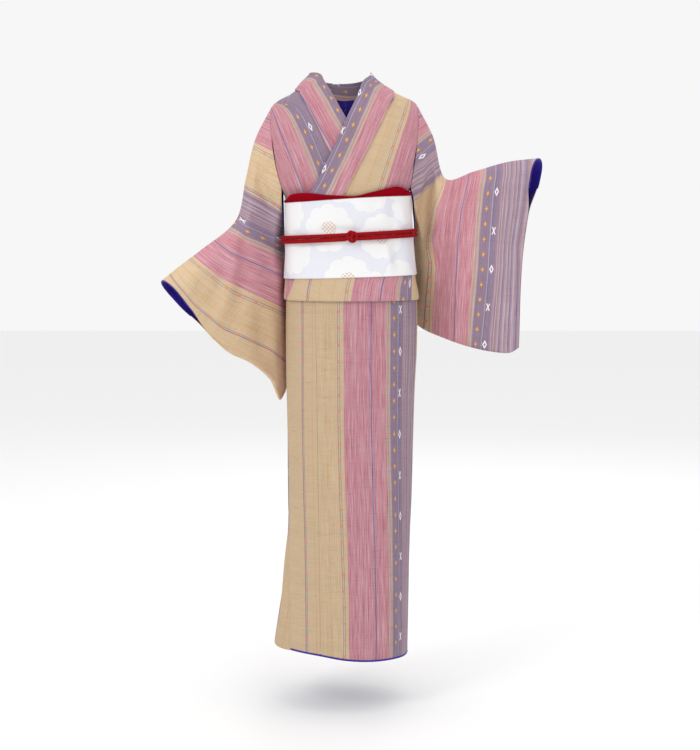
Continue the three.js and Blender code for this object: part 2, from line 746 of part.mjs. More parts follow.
function addCuffLining(side) {
  const steps = 12;
  const rings = sleeveRings(side, steps);
  const last = rings.length - 1;
  const half = sleeveDrops.length - 1;
  const around = rings[0].length;
  const openCount = sleeveDrops.filter((drop) => drop <= cuffOpenDrop[side]).length - 1;
  const columns = [];
  for (let column = -openCount; column <= openCount; column += 1) {
    columns.push((column + around) % around);
  }
  const outer = [];
  const inner = [];
  for (const row of cuffRollRows) {
    const moved = { outside: [], inside: [] };
    for (const column of columns) {
      const edge = rings[last][column];
      const before = rings[last - 1][column];
      const direction = edge.clone().sub(before).normalize();
      let place = edge.clone().addScaledVector(direction, Math.max(row.reach, 0));
      let ringBefore = before;
      if (row.reach < 0) {
        let travelled = 0;
        let index = last;
        while (travelled < -row.reach) {
          travelled += rings[index][column].distanceTo(rings[index - 1][column]);
          index -= 1;
        }
        place = rings[index][column].clone();
        ringBefore = rings[index - 1][column];
      }
      const ring = row.reach < 0 ? rings[last - 2] : rings[last];
      const turn = ring[(column + 1) % around].clone().sub(ring[(column + around - 1) % around]);
      const normal = turn.cross(place.clone().sub(ringBefore)).normalize().multiplyScalar(sideSign[side]);
      moved.outside.push(place.clone().addScaledVector(normal, -row.outside));
      moved.inside.push(place.clone().addScaledVector(normal, -row.inside));
    }
    outer.push(moved.outside);
    inner.push(moved.inside);
  }
  addMesh(`${side}_cuff_lining`, wallBetween(outer, inner, false), indigoLining);
}

// The belt
const beltTop = (x) => -225 + 0.062 * (x - 10);
const beltBottom = (x) => -397 + 0.03 * (x - 10);
const beltSteps = 64;

// The belt lies further out over the fronts' layers, and low down over the folded cloth.
function beltInside(angle, z) {
  return mix(mix(2.8, 5.6, foldShare(z)), 13.0, overShare(Math.abs(angle), 56, 89));
}

const beltOutside = (angle, z) => beltInside(angle, z) + beltWall;

function addBelt() {
  const shares = [0, 0.03, 0.5, 0.75, 0.97, 1];
  const outer = [];
  const inner = [];
  for (const share of shares) {
    const outerRow = [];
    const innerRow = [];
    for (let step = 0; step < beltSteps; step += 1) {
      const angle = -180 + (360 * step) / beltSteps;
      const x = formPoint(angle, cordRingZ).x;
      const z = mix(beltTop(x), beltBottom(x), share);
      const rounding = share === 0 || share === 1 ? 0.7 : 0;
      outerRow.push(onForm(angle, z, beltOutside(angle, z) - rounding));
      innerRow.push(onForm(angle, z, beltInside(angle, z)));
    }
    outer.push(outerRow);
    inner.push(innerRow);
  }
  addMesh('belt_wrap', wallBetween(outer, inner, true), whiteBelt);
}

// The scarf's upper edge over the belt, by X along the front.
const scarfHeights = columnCurve([
  { x: -134, height: 4 },
  { x: -118, height: 6 },
  { x: -104, height: 13 },
  { x: -80, height: 14 },
  { x: -40, height: 8 },
  { x: 0, height: 4 },
  { x: 27, height: 3.5 },
  { x: 60, height: 9 },
  { x: 92, height: 15 },
  { x: 108, height: 14.5 },
  { x: 128, height: 6 },
  { x: 146, height: 4 },
], 'x', 'height');

function addScarf() {
  const sections = [];
  for (let step = 0; step < beltSteps; step += 1) {
    const angle = -180 + (360 * step) / beltSteps;
    const x = formPoint(angle, -225).x;
    const bottom = beltTop(formPoint(angle, cordRingZ).x) + layerGap;
    const height = Math.abs(angle) < 90 ? scarfHeights(x) : 4;
    const inside = beltInside(angle, bottom);
    const bulge = beltWall - 0.6 + 0.12 * height;
    sections.push([
      onForm(angle, bottom, inside),
      onForm(angle, bottom, inside + beltWall - 0.6),
      onForm(angle, bottom + height * 0.45, inside + bulge),
      onForm(angle, bottom + height * 0.85, inside + bulge * 0.8),
      onForm(angle, bottom + height, inside + 1.0),
      onForm(angle, bottom + height * 0.9, inside),
    ]);
  }
  addMesh('scarf', closedLoop(sections), crimsonScarf);
}

// The drum knot at the back: each path runs through the wall's middle, seen from the side.
const drumLeft = -139;
const drumRight = 151;
const drumWall = 3.2;
const beltBack = (z) => formPoint(180, z).y + beltOutside(180, z);
const seatOnBelt = 0.8 + drumWall / 2;

const drumPath = [
  [beltBack(-262) + seatOnBelt + 0.9, -262],
  [beltBack(-235) + seatOnBelt + 4, -222],
  [122, -196],
  [142, -184],
  [163, -190],
  [177, -214],
  [183, -260],
  [184, -320],
  [181, -380],
  [173, -430],
  [160, -455],
  [144, -463],
  [128, -455],
  [122.5, -436],
  [122, -395],
  [122, -352],
];
const flapPath = [
  [beltBack(-345) + seatOnBelt, -345],
  [beltBack(-390) + seatOnBelt, -390],
  [116.2, -425],
  [117.4, -470],
  [119.5, -510],
  [121, -548],
];
const bandLeft = -90;
const bandRight = 102;
const bandInnerY = 124.4;
const bandWall = 4.4;
const bandTop = -292;
const bandBottom = -426;

// A strip of cloth with one section all the way across, from one X to another.
function addAcross(name, path, wall, left, right, steps) {
  const points = path.map(([y, z]) => new THREE.Vector3(0, y, z));
  const curve = new THREE.CatmullRomCurve3(points, false, 'centripetal');
  const outer = [];
  const inner = [];
  for (let step = 0; step <= steps; step += 1) {
    const share = step / steps;
    const point = curve.getPoint(share);
    const tangent = curve.getTangent(share);
    const normal = new THREE.Vector3(0, -tangent.z, tangent.y);
    const front = point.clone().addScaledVector(normal, wall / 2);
    const back = point.clone().addScaledVector(normal, -wall / 2);
    outer.push([left, mix(left, right, 0.5), right].map((x) => new THREE.Vector3(x, front.y, front.z)));
    inner.push([left, mix(left, right, 0.5), right].map((x) => new THREE.Vector3(x, back.y, back.z)));
  }
  addMesh(name, wallBetween(outer, inner, false), whiteBelt);
}

function addKnotBand() {
  const path = [
    [bandInnerY + bandWall / 2, bandTop],
    [bandInnerY + bandWall / 2, mix(bandTop, bandBottom, 0.5)],
    [bandInnerY + bandWall / 2, bandBottom],
  ];
  addAcross('belt_band', path, bandWall, bandLeft, bandRight, 4);
}

// The cord runs round the belt, through the drum over the band, and is tied in front.
const cordRadius = 4.1;
const cordSides = 8;
const strandDrop = 8.6;
const knotX = 15;
const knotHalfWidth = 12;
const knotHalfDepth = 4.2;
const knotHalfHeight = 13.5;
const knotAngle = 2.5;
const knotReach = 5.4;
const tailEnd = 80;
const cordClear = cordRadius + 1.1;
const cordLevel = (x) => -304.5 + 0.055 * (x - 10);
const cordBackY = bandInnerY + bandWall + cordClear;
const cordBackZ = -320;
const cordRingZ = -310;

// One strand's middle line at an angle on the front or the sides of the belt.
function cordOnBelt(angle, drop) {
  const x = formPoint(angle, cordRingZ).x;
  return onForm(angle, cordLevel(x) - drop, beltOutside(angle, cordRingZ) + cordClear);
}

function circleSection(centre, tangent, radius, sides) {
  const up = new THREE.Vector3(0, 0, 1);
  const across = up.clone().cross(tangent).normalize();
  const rise = tangent.clone().cross(across).normalize();
  const section = [];
  for (let side = 0; side < sides; side += 1) {
    const angle = (side / sides) * 2 * Math.PI;
    section.push(centre.clone()
      .addScaledVector(across, radius * Math.cos(angle))
      .addScaledVector(rise, radius * Math.sin(angle)));
  }
  return section;
}

function cordRoute() {
  const route = [];
  for (let angle = -112; angle <= 112; angle += 8) {
    route.push(cordOnBelt(angle, 0));
  }
  route.push(new THREE.Vector3(138, 113, cordBackZ + 6));
  route.push(new THREE.Vector3(112, cordBackY, cordBackZ));
  route.push(new THREE.Vector3(60, cordBackY, cordBackZ));
  route.push(new THREE.Vector3(6, cordBackY, cordBackZ));
  route.push(new THREE.Vector3(-50, cordBackY, cordBackZ));
  route.push(new THREE.Vector3(-100, cordBackY, cordBackZ));
  route.push(new THREE.Vector3(-122, 113, cordBackZ + 4));
  return route;
}

function addCord() {
  const curve = new THREE.CatmullRomCurve3(cordRoute(), true, 'centripetal');
  const steps = 64;
  const sections = [];
  for (let step = 0; step < steps; step += 1) {
    const share = step / steps;
    sections.push(circleSection(curve.getPointAt(share), curve.getTangentAt(share), cordRadius, cordSides));
  }
  addMesh('cord', closedLoop(sections), redCord);
}

function addTail(name, startAngle, endAngle) {
  const count = 12;
  const points = [];
  for (let step = 0; step <= count; step += 1) {
    points.push(cordOnBelt(mix(startAngle, endAngle, step / count), strandDrop));
  }
  const curve = new THREE.CatmullRomCurve3(points, false, 'centripetal');
  const section = new THREE.Shape();
  section.absarc(0, 0, cordRadius, 0, 2 * Math.PI, false);
  const geometry = new THREE.ExtrudeGeometry(section, {
    steps: 20,
    curveSegments: cordSides / 2,
    extrudePath: curve,
  });
  addMesh(name, geometry, redCord);
}

function addKnot() {
  const lift = beltOutside(knotAngle, cordRingZ) + 2 * cordRadius + knotHalfDepth + 1;
  const centre = onForm(knotAngle, cordLevel(knotX) - strandDrop / 2, lift);
  const geometry = new THREE.SphereGeometry(1, 14, 8);
  geometry.scale(knotHalfWidth, knotHalfDepth, knotHalfHeight);
  geometry.translate(knotX, centre.y, centre.z);
  addMesh('cord_knot', geometry, redCord);
}

addBodyFront('right', rightFrontEdge, rightFrontInside, pinkStripe);
addBodyFront('left', leftFrontEdge, leftFrontInside, beigeStripe);
addBodyBack('right', pinkStripe);
addBodyBack('left', pinkStripe);
addCollar('collar', 0, collarRows.length - 1, 3, 0, 0, purpleStripe);
addSkirt();
addHemLining();
addSleeve('right', pinkStripe);
addSleeve('left', purpleStripe);
addCuffLining('right');
addCuffLining('left');
addBelt();
addScarf();
addAcross('belt_drum', drumPath, drumWall, drumLeft, drumRight, 30);
addAcross('belt_flap', flapPath, drumWall, drumLeft, drumRight, 8);
addKnotBand();
addCord();
addTail('cord_tail_right', knotAngle - knotReach, -tailEnd);
addTail('cord_tail_left', knotAngle + knotReach, tailEnd);
addKnot();

export default kimono;
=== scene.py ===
import json
import math

import bmesh
import bpy
import numpy as np
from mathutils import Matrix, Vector

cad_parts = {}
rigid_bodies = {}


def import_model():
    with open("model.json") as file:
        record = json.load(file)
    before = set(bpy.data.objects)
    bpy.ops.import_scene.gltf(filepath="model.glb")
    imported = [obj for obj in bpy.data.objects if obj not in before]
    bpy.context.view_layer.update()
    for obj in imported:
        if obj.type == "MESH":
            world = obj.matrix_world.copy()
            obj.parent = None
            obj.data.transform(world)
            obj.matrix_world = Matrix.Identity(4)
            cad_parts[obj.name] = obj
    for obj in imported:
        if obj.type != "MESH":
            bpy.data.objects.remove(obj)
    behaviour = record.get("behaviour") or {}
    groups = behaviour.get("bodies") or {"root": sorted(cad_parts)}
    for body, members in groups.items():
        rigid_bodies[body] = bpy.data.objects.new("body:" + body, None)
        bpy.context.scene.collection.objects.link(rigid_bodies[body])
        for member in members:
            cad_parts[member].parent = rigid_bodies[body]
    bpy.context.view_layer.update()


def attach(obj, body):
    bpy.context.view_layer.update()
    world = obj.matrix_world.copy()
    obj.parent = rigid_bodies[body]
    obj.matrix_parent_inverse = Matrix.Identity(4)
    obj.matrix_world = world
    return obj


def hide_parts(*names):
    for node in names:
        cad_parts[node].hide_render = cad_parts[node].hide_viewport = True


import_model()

scene = bpy.context.scene

# A striped silk kimono as worn, left front over right, with its belt, scarf and cord.
# Lengths are millimetres until a mesh is made. X to the viewer's right, Y to the back, Z up.
# The wearer's right is the viewer's left. Angles run round the form: 0 in front, 90 at the viewer's right.

metre = 0.001
sharpAngle = math.radians(50)

# camera, floor and light

studio = {
    "lens": 75.2,
    "cameraPlace": (0.010, -3.480, -0.276),
    "cameraTilt": 84.4,
    "floorHeight": -1.354,
    "floorReach": 12.0,
    "floorColour": (0.92, 0.92, 0.92, 1.0),
    "floorRoughness": 0.9,
    "skyStrength": 0.93,
    # place, aim, size and power
    "lights": {
        "keyLight": ((-2.2, -2.4, 2.0), (0.0, 0.0, -0.2), 1.2, 27),
        "frontLight": ((0.9, -3.0, 0.9), (0.05, 0.0, -0.1), 1.6, 11),
        "topLight": ((0.3, -0.2, 2.6), (0.0, 0.0, -0.4), 1.8, 12),
        "backLight": ((0.6, 3.0, 1.4), (0.0, 0.0, -0.5), 2.0, 16),
    },
}


def addCamera():
    data = bpy.data.cameras.new("photoCamera")
    data.lens = studio["lens"]
    camera = bpy.data.objects.new("photoCamera", data)
    camera.location = studio["cameraPlace"]
    camera.rotation_euler = (math.radians(studio["cameraTilt"]), 0.0, 0.0)
    scene.collection.objects.link(camera)
    scene.camera = camera


def addLight(name, place, aim, size, power):
    data = bpy.data.lights.new(name, "AREA")
    data.shape = "SQUARE"
    data.size = size
    data.energy = power
    light = bpy.data.objects.new(name, data)
    light.location = place
    light.rotation_euler = (Vector(aim) - Vector(place)).to_track_quat("-Z", "Y").to_euler()
    scene.collection.objects.link(light)


def addFloor():
    reach, height = studio["floorReach"], studio["floorHeight"]
    mesh = bpy.data.meshes.new("floor")
    corners = [(x * reach, y * reach, height) for x, y in ((-1, -1), (1, -1), (1, 1), (-1, 1))]
    mesh.from_pydata(corners, [], [(0, 1, 2, 3)])
    floor = bpy.data.objects.new("floor", mesh)
    material = bpy.data.materials.new("paperFloor")
    material.use_nodes = True
    shader = material.node_tree.nodes["Principled BSDF"]
    shader.inputs["Base Color"].default_value = studio["floorColour"]
    shader.inputs["Roughness"].default_value = studio["floorRoughness"]
    mesh.materials.append(material)
    scene.collection.objects.link(floor)


def addSky():
    world = bpy.data.worlds.new("softRoom")
    world.use_nodes = True
    background = world.node_tree.nodes["Background"]
    background.inputs["Color"].default_value = (1.0, 1.0, 1.0, 1.0)
    background.inputs["Strength"].default_value = studio["skyStrength"]
    scene.world = world
    scene.view_settings.view_transform = "Standard"


addCamera()
addFloor()
addSky()
for lightName, settings in studio["lights"].items():
    addLight(lightName, *settings)
print("camera, floor and light ready")

# curves and the worn form


def curveThrough(places, values):
    # a smooth function of the place, held level past both ends
    x = np.array(places, float)
    y = np.array(values, float)
    if x[0] > x[-1]:
        x, y = x[::-1], y[::-1]
    slope = np.empty_like(y)
    slope[1:-1] = (y[2:] - y[:-2]) / (x[2:] - x[:-2])
    slope[0] = (y[1] - y[0]) / (x[1] - x[0])
    slope[-1] = (y[-1] - y[-2]) / (x[-1] - x[-2])

    def valueAt(place):
        place = np.clip(np.asarray(place, float), x[0], x[-1])
        i = np.clip(np.searchsorted(x, place, side="right") - 1, 0, len(x) - 2)
        span = x[i + 1] - x[i]
        t = (place - x[i]) / span
        return (
            (2 * t**3 - 3 * t**2 + 1) * y[i]
            + (t**3 - 2 * t**2 + t) * span * slope[i]
            + (3 * t**2 - 2 * t**3) * y[i + 1]
            + (t**3 - t**2) * span * slope[i + 1]
        )

    return valueAt


def columnCurve(rows, along, column):
    return curveThrough([row[along] for row in rows], [row[column] for row in rows])


def rise(low, high, value):
    t = np.clip((np.asarray(value, float) - low) / (high - low), 0.0, 1.0)
    return t * t * (3 - 2 * t)


def mix(a, b, share):
    return a + (b - a) * share


def cubic(start, end, leave, arrive, t):
    # from start to end with the slopes given at both
    bend = 2 * start - 2 * end + leave + arrive
    return bend * t**3 + (-3 * start + 3 * end - 2 * leave - arrive) * t**2 + leave * t + start


def closed(ring):
    return np.concatenate([ring, ring[:1]])


def lengthAlong(points):
    # the length run from the first point of each row
    steps = np.linalg.norm(np.diff(points, axis=-2), axis=-1)
    return np.concatenate([np.zeros(steps.shape[:-1] + (1,)), np.cumsum(steps, axis=-1)], axis=-1)


def rounded(distance, reach):
    # 1 at an edge, falling to 0 at the reach from it
    return np.clip(1 - distance / reach, 0, 1) ** 2


# height, reach to the left, right, front and back, and how square the ring is
formRings = [
    (50, -70, 50, 46, 84, 2.2), (37, -79, 58, 52, 88, 2.2), (29, -87, 65, 56, 90, 2.2),
    (20, -96, 77, 60, 91, 2.25), (11, -104, 91, 65, 92, 2.3), (2, -116, 109, 70, 93, 2.35),
    (-7, -132, 129, 75, 94, 2.4), (-15, -147, 146, 80, 95, 2.5), (-24, -158, 156, 85, 96, 2.6),
    (-34, -167, 164, 90, 97, 2.7), (-60, -176, 172, 99, 99, 2.8), (-90, -176, 172, 106, 101, 2.8),
    (-119, -172, 168, 111, 102, 2.8), (-165, -159, 157, 114, 102, 2.7), (-195, -149, 149, 113, 100, 2.6),
    (-213, -137, 138, 110, 98, 2.55), (-232, -127, 136, 107, 96, 2.5), (-265, -126, 139, 105, 95, 2.5),
    (-330, -126, 144, 105, 97, 2.5), (-400, -127, 149, 109, 102, 2.5), (-445, -130, 157, 111, 106, 2.5),
    (-560, -131, 157, 111, 113, 2.5), (-640, -130, 153, 111, 113, 2.5), (-750, -128, 150, 111, 111, 2.45),
    (-888, -127, 147, 111, 109, 2.4), (-957, -128, 144, 112, 108, 2.4), (-1026, -134, 142, 112, 108, 2.35),
    (-1095, -141, 141, 113, 109, 2.3), (-1164, -151, 140, 115, 110, 2.3), (-1222, -160, 139, 117, 112, 2.3),
    (-1250, -163, 139, 118, 113, 2.3),
]
leftReach, rightReach, frontReach, backReach, squareness = (columnCurve(formRings, 0, k) for k in range(1, 6))


def formPoint(angle, z):
    angle, z = np.broadcast_arrays(np.asarray(angle, float), np.asarray(z, float))
    left, right = leftReach(z), rightReach(z)
    sine, cosine = np.sin(np.radians(angle)), np.cos(np.radians(angle))
    depth = np.where(cosine > 0, frontReach(z), backReach(z))
    power = squareness(z)
    radius = (np.abs(sine / ((right - left) / 2)) ** power + np.abs(cosine / depth) ** power) ** (-1 / power)
    return np.stack([(left + right) / 2 + radius * sine, -radius * cosine, z], -1)


def unit(vectors):
    return vectors / np.maximum(np.linalg.norm(vectors, axis=-1, keepdims=True), 1e-9)


def onForm(angle, z, lift):
    turn = formPoint(np.asarray(angle) + 0.5, z) - formPoint(np.asarray(angle) - 0.5, z)
    climb = formPoint(angle, np.asarray(z) + 1) - formPoint(angle, np.asarray(z) - 1)
    return formPoint(angle, z) + unit(np.cross(turn, climb)) * np.asarray(lift, float)[..., None]


def angleAt(x, z, front=True):
    left, right = leftReach(z), rightReach(z)
    centre, width = (left + right) / 2, (right - left) / 2
    share = np.minimum(np.abs(x - centre) / width, 0.985)
    power = squareness(z)
    y = (frontReach(z) if front else backReach(z)) * (1 - share**power) ** (1 / power)
    return np.degrees(np.arctan2(np.sign(x - centre) * share * width, y if front else -y))


def softFolds(points, rows):
    # soft troughs and ridges, each a bent line: start, bend and end as x and z, half width, height
    x, z = points[..., 0], points[..., 2]
    lift = np.zeros_like(x)
    steps = np.linspace(0.0, 1.0, 15)
    for x0, z0, xBend, zBend, x1, z1, width, height in rows:
        nearest = np.full_like(x, 1e9)
        place = np.zeros_like(x)
        path = np.stack([
            (1 - steps) ** 2 * start + 2 * steps * (1 - steps) * bend + steps**2 * end
            for start, bend, end in ((x0, xBend, x1), (z0, zBend, z1))], -1)
        for k in range(len(steps) - 1):
            (ax, az), (bx, bz) = path[k], path[k + 1]
            run = max((bx - ax) ** 2 + (bz - az) ** 2, 1e-6)
            t = np.clip(((x - ax) * (bx - ax) + (z - az) * (bz - az)) / run, 0, 1)
            far = np.hypot(x - ax - t * (bx - ax), z - az - t * (bz - az))
            closer = far < nearest
            nearest = np.where(closer, far, nearest)
            place = np.where(closer, steps[k] + t / (len(steps) - 1), place)
        taper = np.clip(np.sin(np.pi * np.clip(place, 0.0, 1.0)), 0, 1) ** 0.6
        lift += height * taper * np.exp(-((nearest / width) ** 2))
    return lift


# walls of cloth from two grids of points


def makePiece(name, points, faces, cloth, finishes, faceFinish=None):
    mesh = bpy.data.meshes.new(name)
    mesh.from_pydata((np.asarray(points, float).reshape(-1, 3) * metre).tolist(), [], faces)
    layer = mesh.uv_layers.new(name="cloth")
    layer.data.foreach_set("uv", (np.asarray(cloth, float) * metre).reshape(-1).tolist())
    for finish in finishes:
        mesh.materials.append(finish)
    if faceFinish is not None:
        mesh.polygons.foreach_set("material_index", faceFinish)
    mesh.polygons.foreach_set("use_smooth", [True] * len(faces))
    mesh.set_sharp_from_angle(angle=sharpAngle)
    mesh.update()
    piece = bpy.data.objects.new(name, mesh)
    scene.collection.objects.link(piece)
    return piece


def clothWall(name, outer, inner, cloth, finishes, around=False):
    # outer and inner are grids of points, cloth the place of each on the bolt
    rows, columns = outer.shape[:2]
    points = np.concatenate([outer.reshape(-1, 3), inner.reshape(-1, 3)])
    last = columns if around else columns - 1
    faces, uvs, finish = [], [], []
    size = rows * columns
    wide = cloth.shape[1]
    flat = cloth.reshape(-1, 2)

    def addFace(corners, kind):
        faces.append([side * size + row * columns + column % columns for side, row, column in corners])
        uvs.extend(flat[row * wide + min(column, wide - 1)] for side, row, column in corners)
        finish.append(kind)

    for r in range(rows - 1):
        for c in range(last):
            addFace([(0, r, c), (0, r, c + 1), (0, r + 1, c + 1), (0, r + 1, c)], 0)
            addFace([(1, r, c), (1, r + 1, c), (1, r + 1, c + 1), (1, r, c + 1)], 1)
    e = rows - 1
    for c in range(last):
        addFace([(0, 0, c), (1, 0, c), (1, 0, c + 1), (0, 0, c + 1)], 0)
        addFace([(0, e, c), (0, e, c + 1), (1, e, c + 1), (1, e, c)], 0)
    if not around:
        e = columns - 1
        for r in range(rows - 1):
            addFace([(0, r, 0), (0, r + 1, 0), (1, r + 1, 0), (1, r, 0)], 0)
            addFace([(0, r, e), (1, r, e), (1, r + 1, e), (0, r + 1, e)], 0)
    r, c = rows // 2, columns // 2
    across = outer[r, (c + 1) % columns] - outer[r, c]
    down = outer[min(r + 1, rows - 1), c] - outer[r, c]
    if np.dot(np.cross(across, down), outer[r, c] - inner[r, c]) < 0:
        faces = [face[::-1] for face in faces]
        uvs = [uvs[4 * k + j] for k in range(len(faces)) for j in (3, 2, 1, 0)]
    kinds = [min(kind, len(finishes) - 1) for kind in finish]
    return makePiece(name, points, faces, uvs, finishes, kinds)


def wear(piece, node):
    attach(piece, "root")
    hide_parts(node)
    return piece


print("form and wall makers ready")

# finishes


def shade(code):
    parts = [int(code[k : k + 2], 16) / 255 for k in (0, 2, 4)]
    return tuple((v / 12.92 if v <= 0.04045 else ((v + 0.055) / 1.055) ** 2.4) for v in parts) + (1.0,)


class Recipe:
    # one material and short ways to add its nodes

    def __init__(self, name, roughness, sheen=0.0, specular=0.3):
        self.material = bpy.data.materials.new(name)
        self.material.use_nodes = True
        self.nodes = self.material.node_tree.nodes
        self.links = self.material.node_tree.links
        self.shader = self.nodes["Principled BSDF"]
        self.shader.inputs["Roughness"].default_value = roughness
        self.shader.inputs["Specular IOR Level"].default_value = specular
        self.shader.inputs["Sheen Weight"].default_value = sheen
        self.shader.inputs["Sheen Roughness"].default_value = 0.45

    def join(self, value, socket):
        if isinstance(value, (int, float, tuple)):
            socket.default_value = value
        else:
            self.links.new(value, socket)

    def calc(self, operation, *values, clamp=False):
        node = self.nodes.new("ShaderNodeMath")
        node.operation = operation
        node.use_clamp = clamp
        for value, socket in zip(values, node.inputs):
            self.join(value, socket)
        return node.outputs[0]

    def plus(self, a, b):
        return self.calc("ADD", a, b)

    def minus(self, a, b):
        return self.calc("SUBTRACT", a, b)

    def times(self, a, b):
        return self.calc("MULTIPLY", a, b)

    def over(self, a, b):
        return self.calc("DIVIDE", a, b)

    def timesPlus(self, a, b, c, clamp=False):
        return self.calc("MULTIPLY_ADD", a, b, c, clamp=clamp)

    def most(self, a, b):
        return self.calc("MAXIMUM", a, b)

    def size(self, value):
        return self.calc("ABSOLUTE", value)

    def sine(self, value, factor):
        return self.calc("SINE", self.times(value, factor))

    def below(self, value, limit, soft):
        # 1 under the limit, falling to 0 just past it
        return self.timesPlus(value, -1 / soft, limit / soft + 0.5, clamp=True)

    def clothPlace(self):
        # u across the cloth and v along it, in millimetres
        uv = self.nodes.new("ShaderNodeUVMap")
        uv.uv_map = "cloth"
        split = self.nodes.new("ShaderNodeSeparateXYZ")
        self.links.new(uv.outputs[0], split.inputs[0])
        return self.times(split.outputs[0], 1 / metre), self.times(split.outputs[1], 1 / metre)

    def grain(self, u, v, scaleU, scaleV, detail=2.0, offset=0.0):
        # noise from -1 to 1 on the cloth, stretched by the two scales
        place = self.nodes.new("ShaderNodeCombineXYZ")
        self.links.new(self.times(u, scaleU), place.inputs[0])
        self.links.new(self.times(v, scaleV), place.inputs[1])
        place.inputs[2].default_value = offset
        noise = self.nodes.new("ShaderNodeTexNoise")
        noise.inputs["Scale"].default_value = 1.0
        noise.inputs["Detail"].default_value = detail
        self.links.new(place.outputs[0], noise.inputs["Vector"])
        return self.timesPlus(noise.outputs[0], 2.6, -1.3)

    def blend(self, share, a, b):
        node = self.nodes.new("ShaderNodeMix")
        node.data_type = "RGBA"
        for value, socket in ((share, 0), (a, 6), (b, 7)):
            self.join(value, node.inputs[socket])
        return node.outputs[2]

    def ramp(self, place, stops):
        node = self.nodes.new("ShaderNodeValToRGB")
        node.color_ramp.interpolation = "CONSTANT"
        ramp = node.color_ramp.elements
        for index, (position, colour) in enumerate(stops):
            stop = ramp[index] if index < 2 else ramp.new(position)
            stop.position = position
            stop.color = colour
        self.links.new(place, node.inputs[0])
        return node.outputs[0]

    def toned(self, colour, value, saturation=1.0):
        node = self.nodes.new("ShaderNodeHueSaturation")
        for part, socket in ((colour, "Color"), (value, "Value"), (saturation, "Saturation")):
            self.join(part, node.inputs[socket])
        return node.outputs[0]

    def finished(self, colour, height, distance):
        # the colour and the relief go to the shader
        node = self.nodes.new("ShaderNodeBump")
        node.inputs["Strength"].default_value = 1.0
        node.inputs["Distance"].default_value = distance
        self.links.new(height, node.inputs["Height"])
        self.links.new(node.outputs[0], self.shader.inputs["Normal"])
        self.links.new(colour, self.shader.inputs["Base Color"])
        return self.material


# the striped cloth: bands across the bolt that repeat, with ikat marks at even spaces along it
stripes = {
    "repeat": 285.0,
    "tones": {
        "pink": "bf8892", "blue": "68729b", "beige": "c9b090", "sand": "bfa588", "lilac": "ab929d",
        "purple": "8d798c", "mauve": "98808e", "pale": "b5a4ad", "faintOrange": "cf9c70", "brown": "a38a80",
        "purpleLine": "8a7c93", "yellow": "efae1c", "white": "ece5e6", "orange": "ec8044",
    },
    # where each band starts
    "bands": [
        (0, "pink"), (58.8, "blue"), (60.8, "pink"), (93.5, "sand"), (95.3, "lilac"), (98.8, "sand"),
        (100.4, "lilac"), (103.5, "purple"), (120.6, "pale"), (121.4, "purple"), (122.8, "blue"),
        (124.2, "purple"), (133, "mauve"), (188, "beige"), (191.2, "purpleLine"), (192.6, "beige"),
        (195.4, "purpleLine"), (197.0, "beige"), (216.4, "faintOrange"), (217.5, "beige"),
        (245.2, "faintOrange"), (246.2, "beige"), (270.6, "purpleLine"), (272.0, "beige"),
        (275.2, "purpleLine"), (277.0, "beige"),
    ],
    "mauveStart": 133.0,
    "mauveEnd": 188.0,
    "mauveBands": [
        (133, "mauve"), (136, "lilac"), (138.2, "mauve"), (141, "pale"), (142.4, "mauve"), (145.2, "brown"),
        (146.8, "lilac"), (150, "blue"), (151.2, "mauve"), (154.5, "lilac"), (157.5, "pale"), (158.9, "mauve"),
        (162, "brown"), (163.4, "lilac"), (166.5, "blue"), (167.8, "mauve"), (171.2, "pale"), (172.6, "lilac"),
        (175.6, "mauve"), (179.8, "blue"), (181, "mauve"), (183.6, "brown"), (185, "lilac"),
    ],
    # how strongly single threads streak each stretch
    "streaks": [(0, 0.85), (93, 0.55), (104, 0.36), (121, 0.5), (133, 0.62), (188, 0.36)],
    # on the fronts beige reaches further, so that the seam falls within it
    "beigeFrom": 134.0,
    "beigeStreak": 0.07,
    "yellowAt": 112.2,
    "yellowShape": (1.5, 6.8, 3.4, 2.1),
    "orangeAt": (193.9, 273.6),
    "orangeShape": (1.6, 4.2, 2.6, 2.0),
    "markSpacing": 36.0,
    "knotAt": 127.6,
    "knotSpacing": 91.0,
    "knotStart": 20.0,
    "warpScale": 0.78,
    "streakDark": 0.24,
    "slubDark": 0.3,
    "weftBars": 0.045,
    "threads": (0.9, 1.0),
    "weaveBump": 0.00010,
}


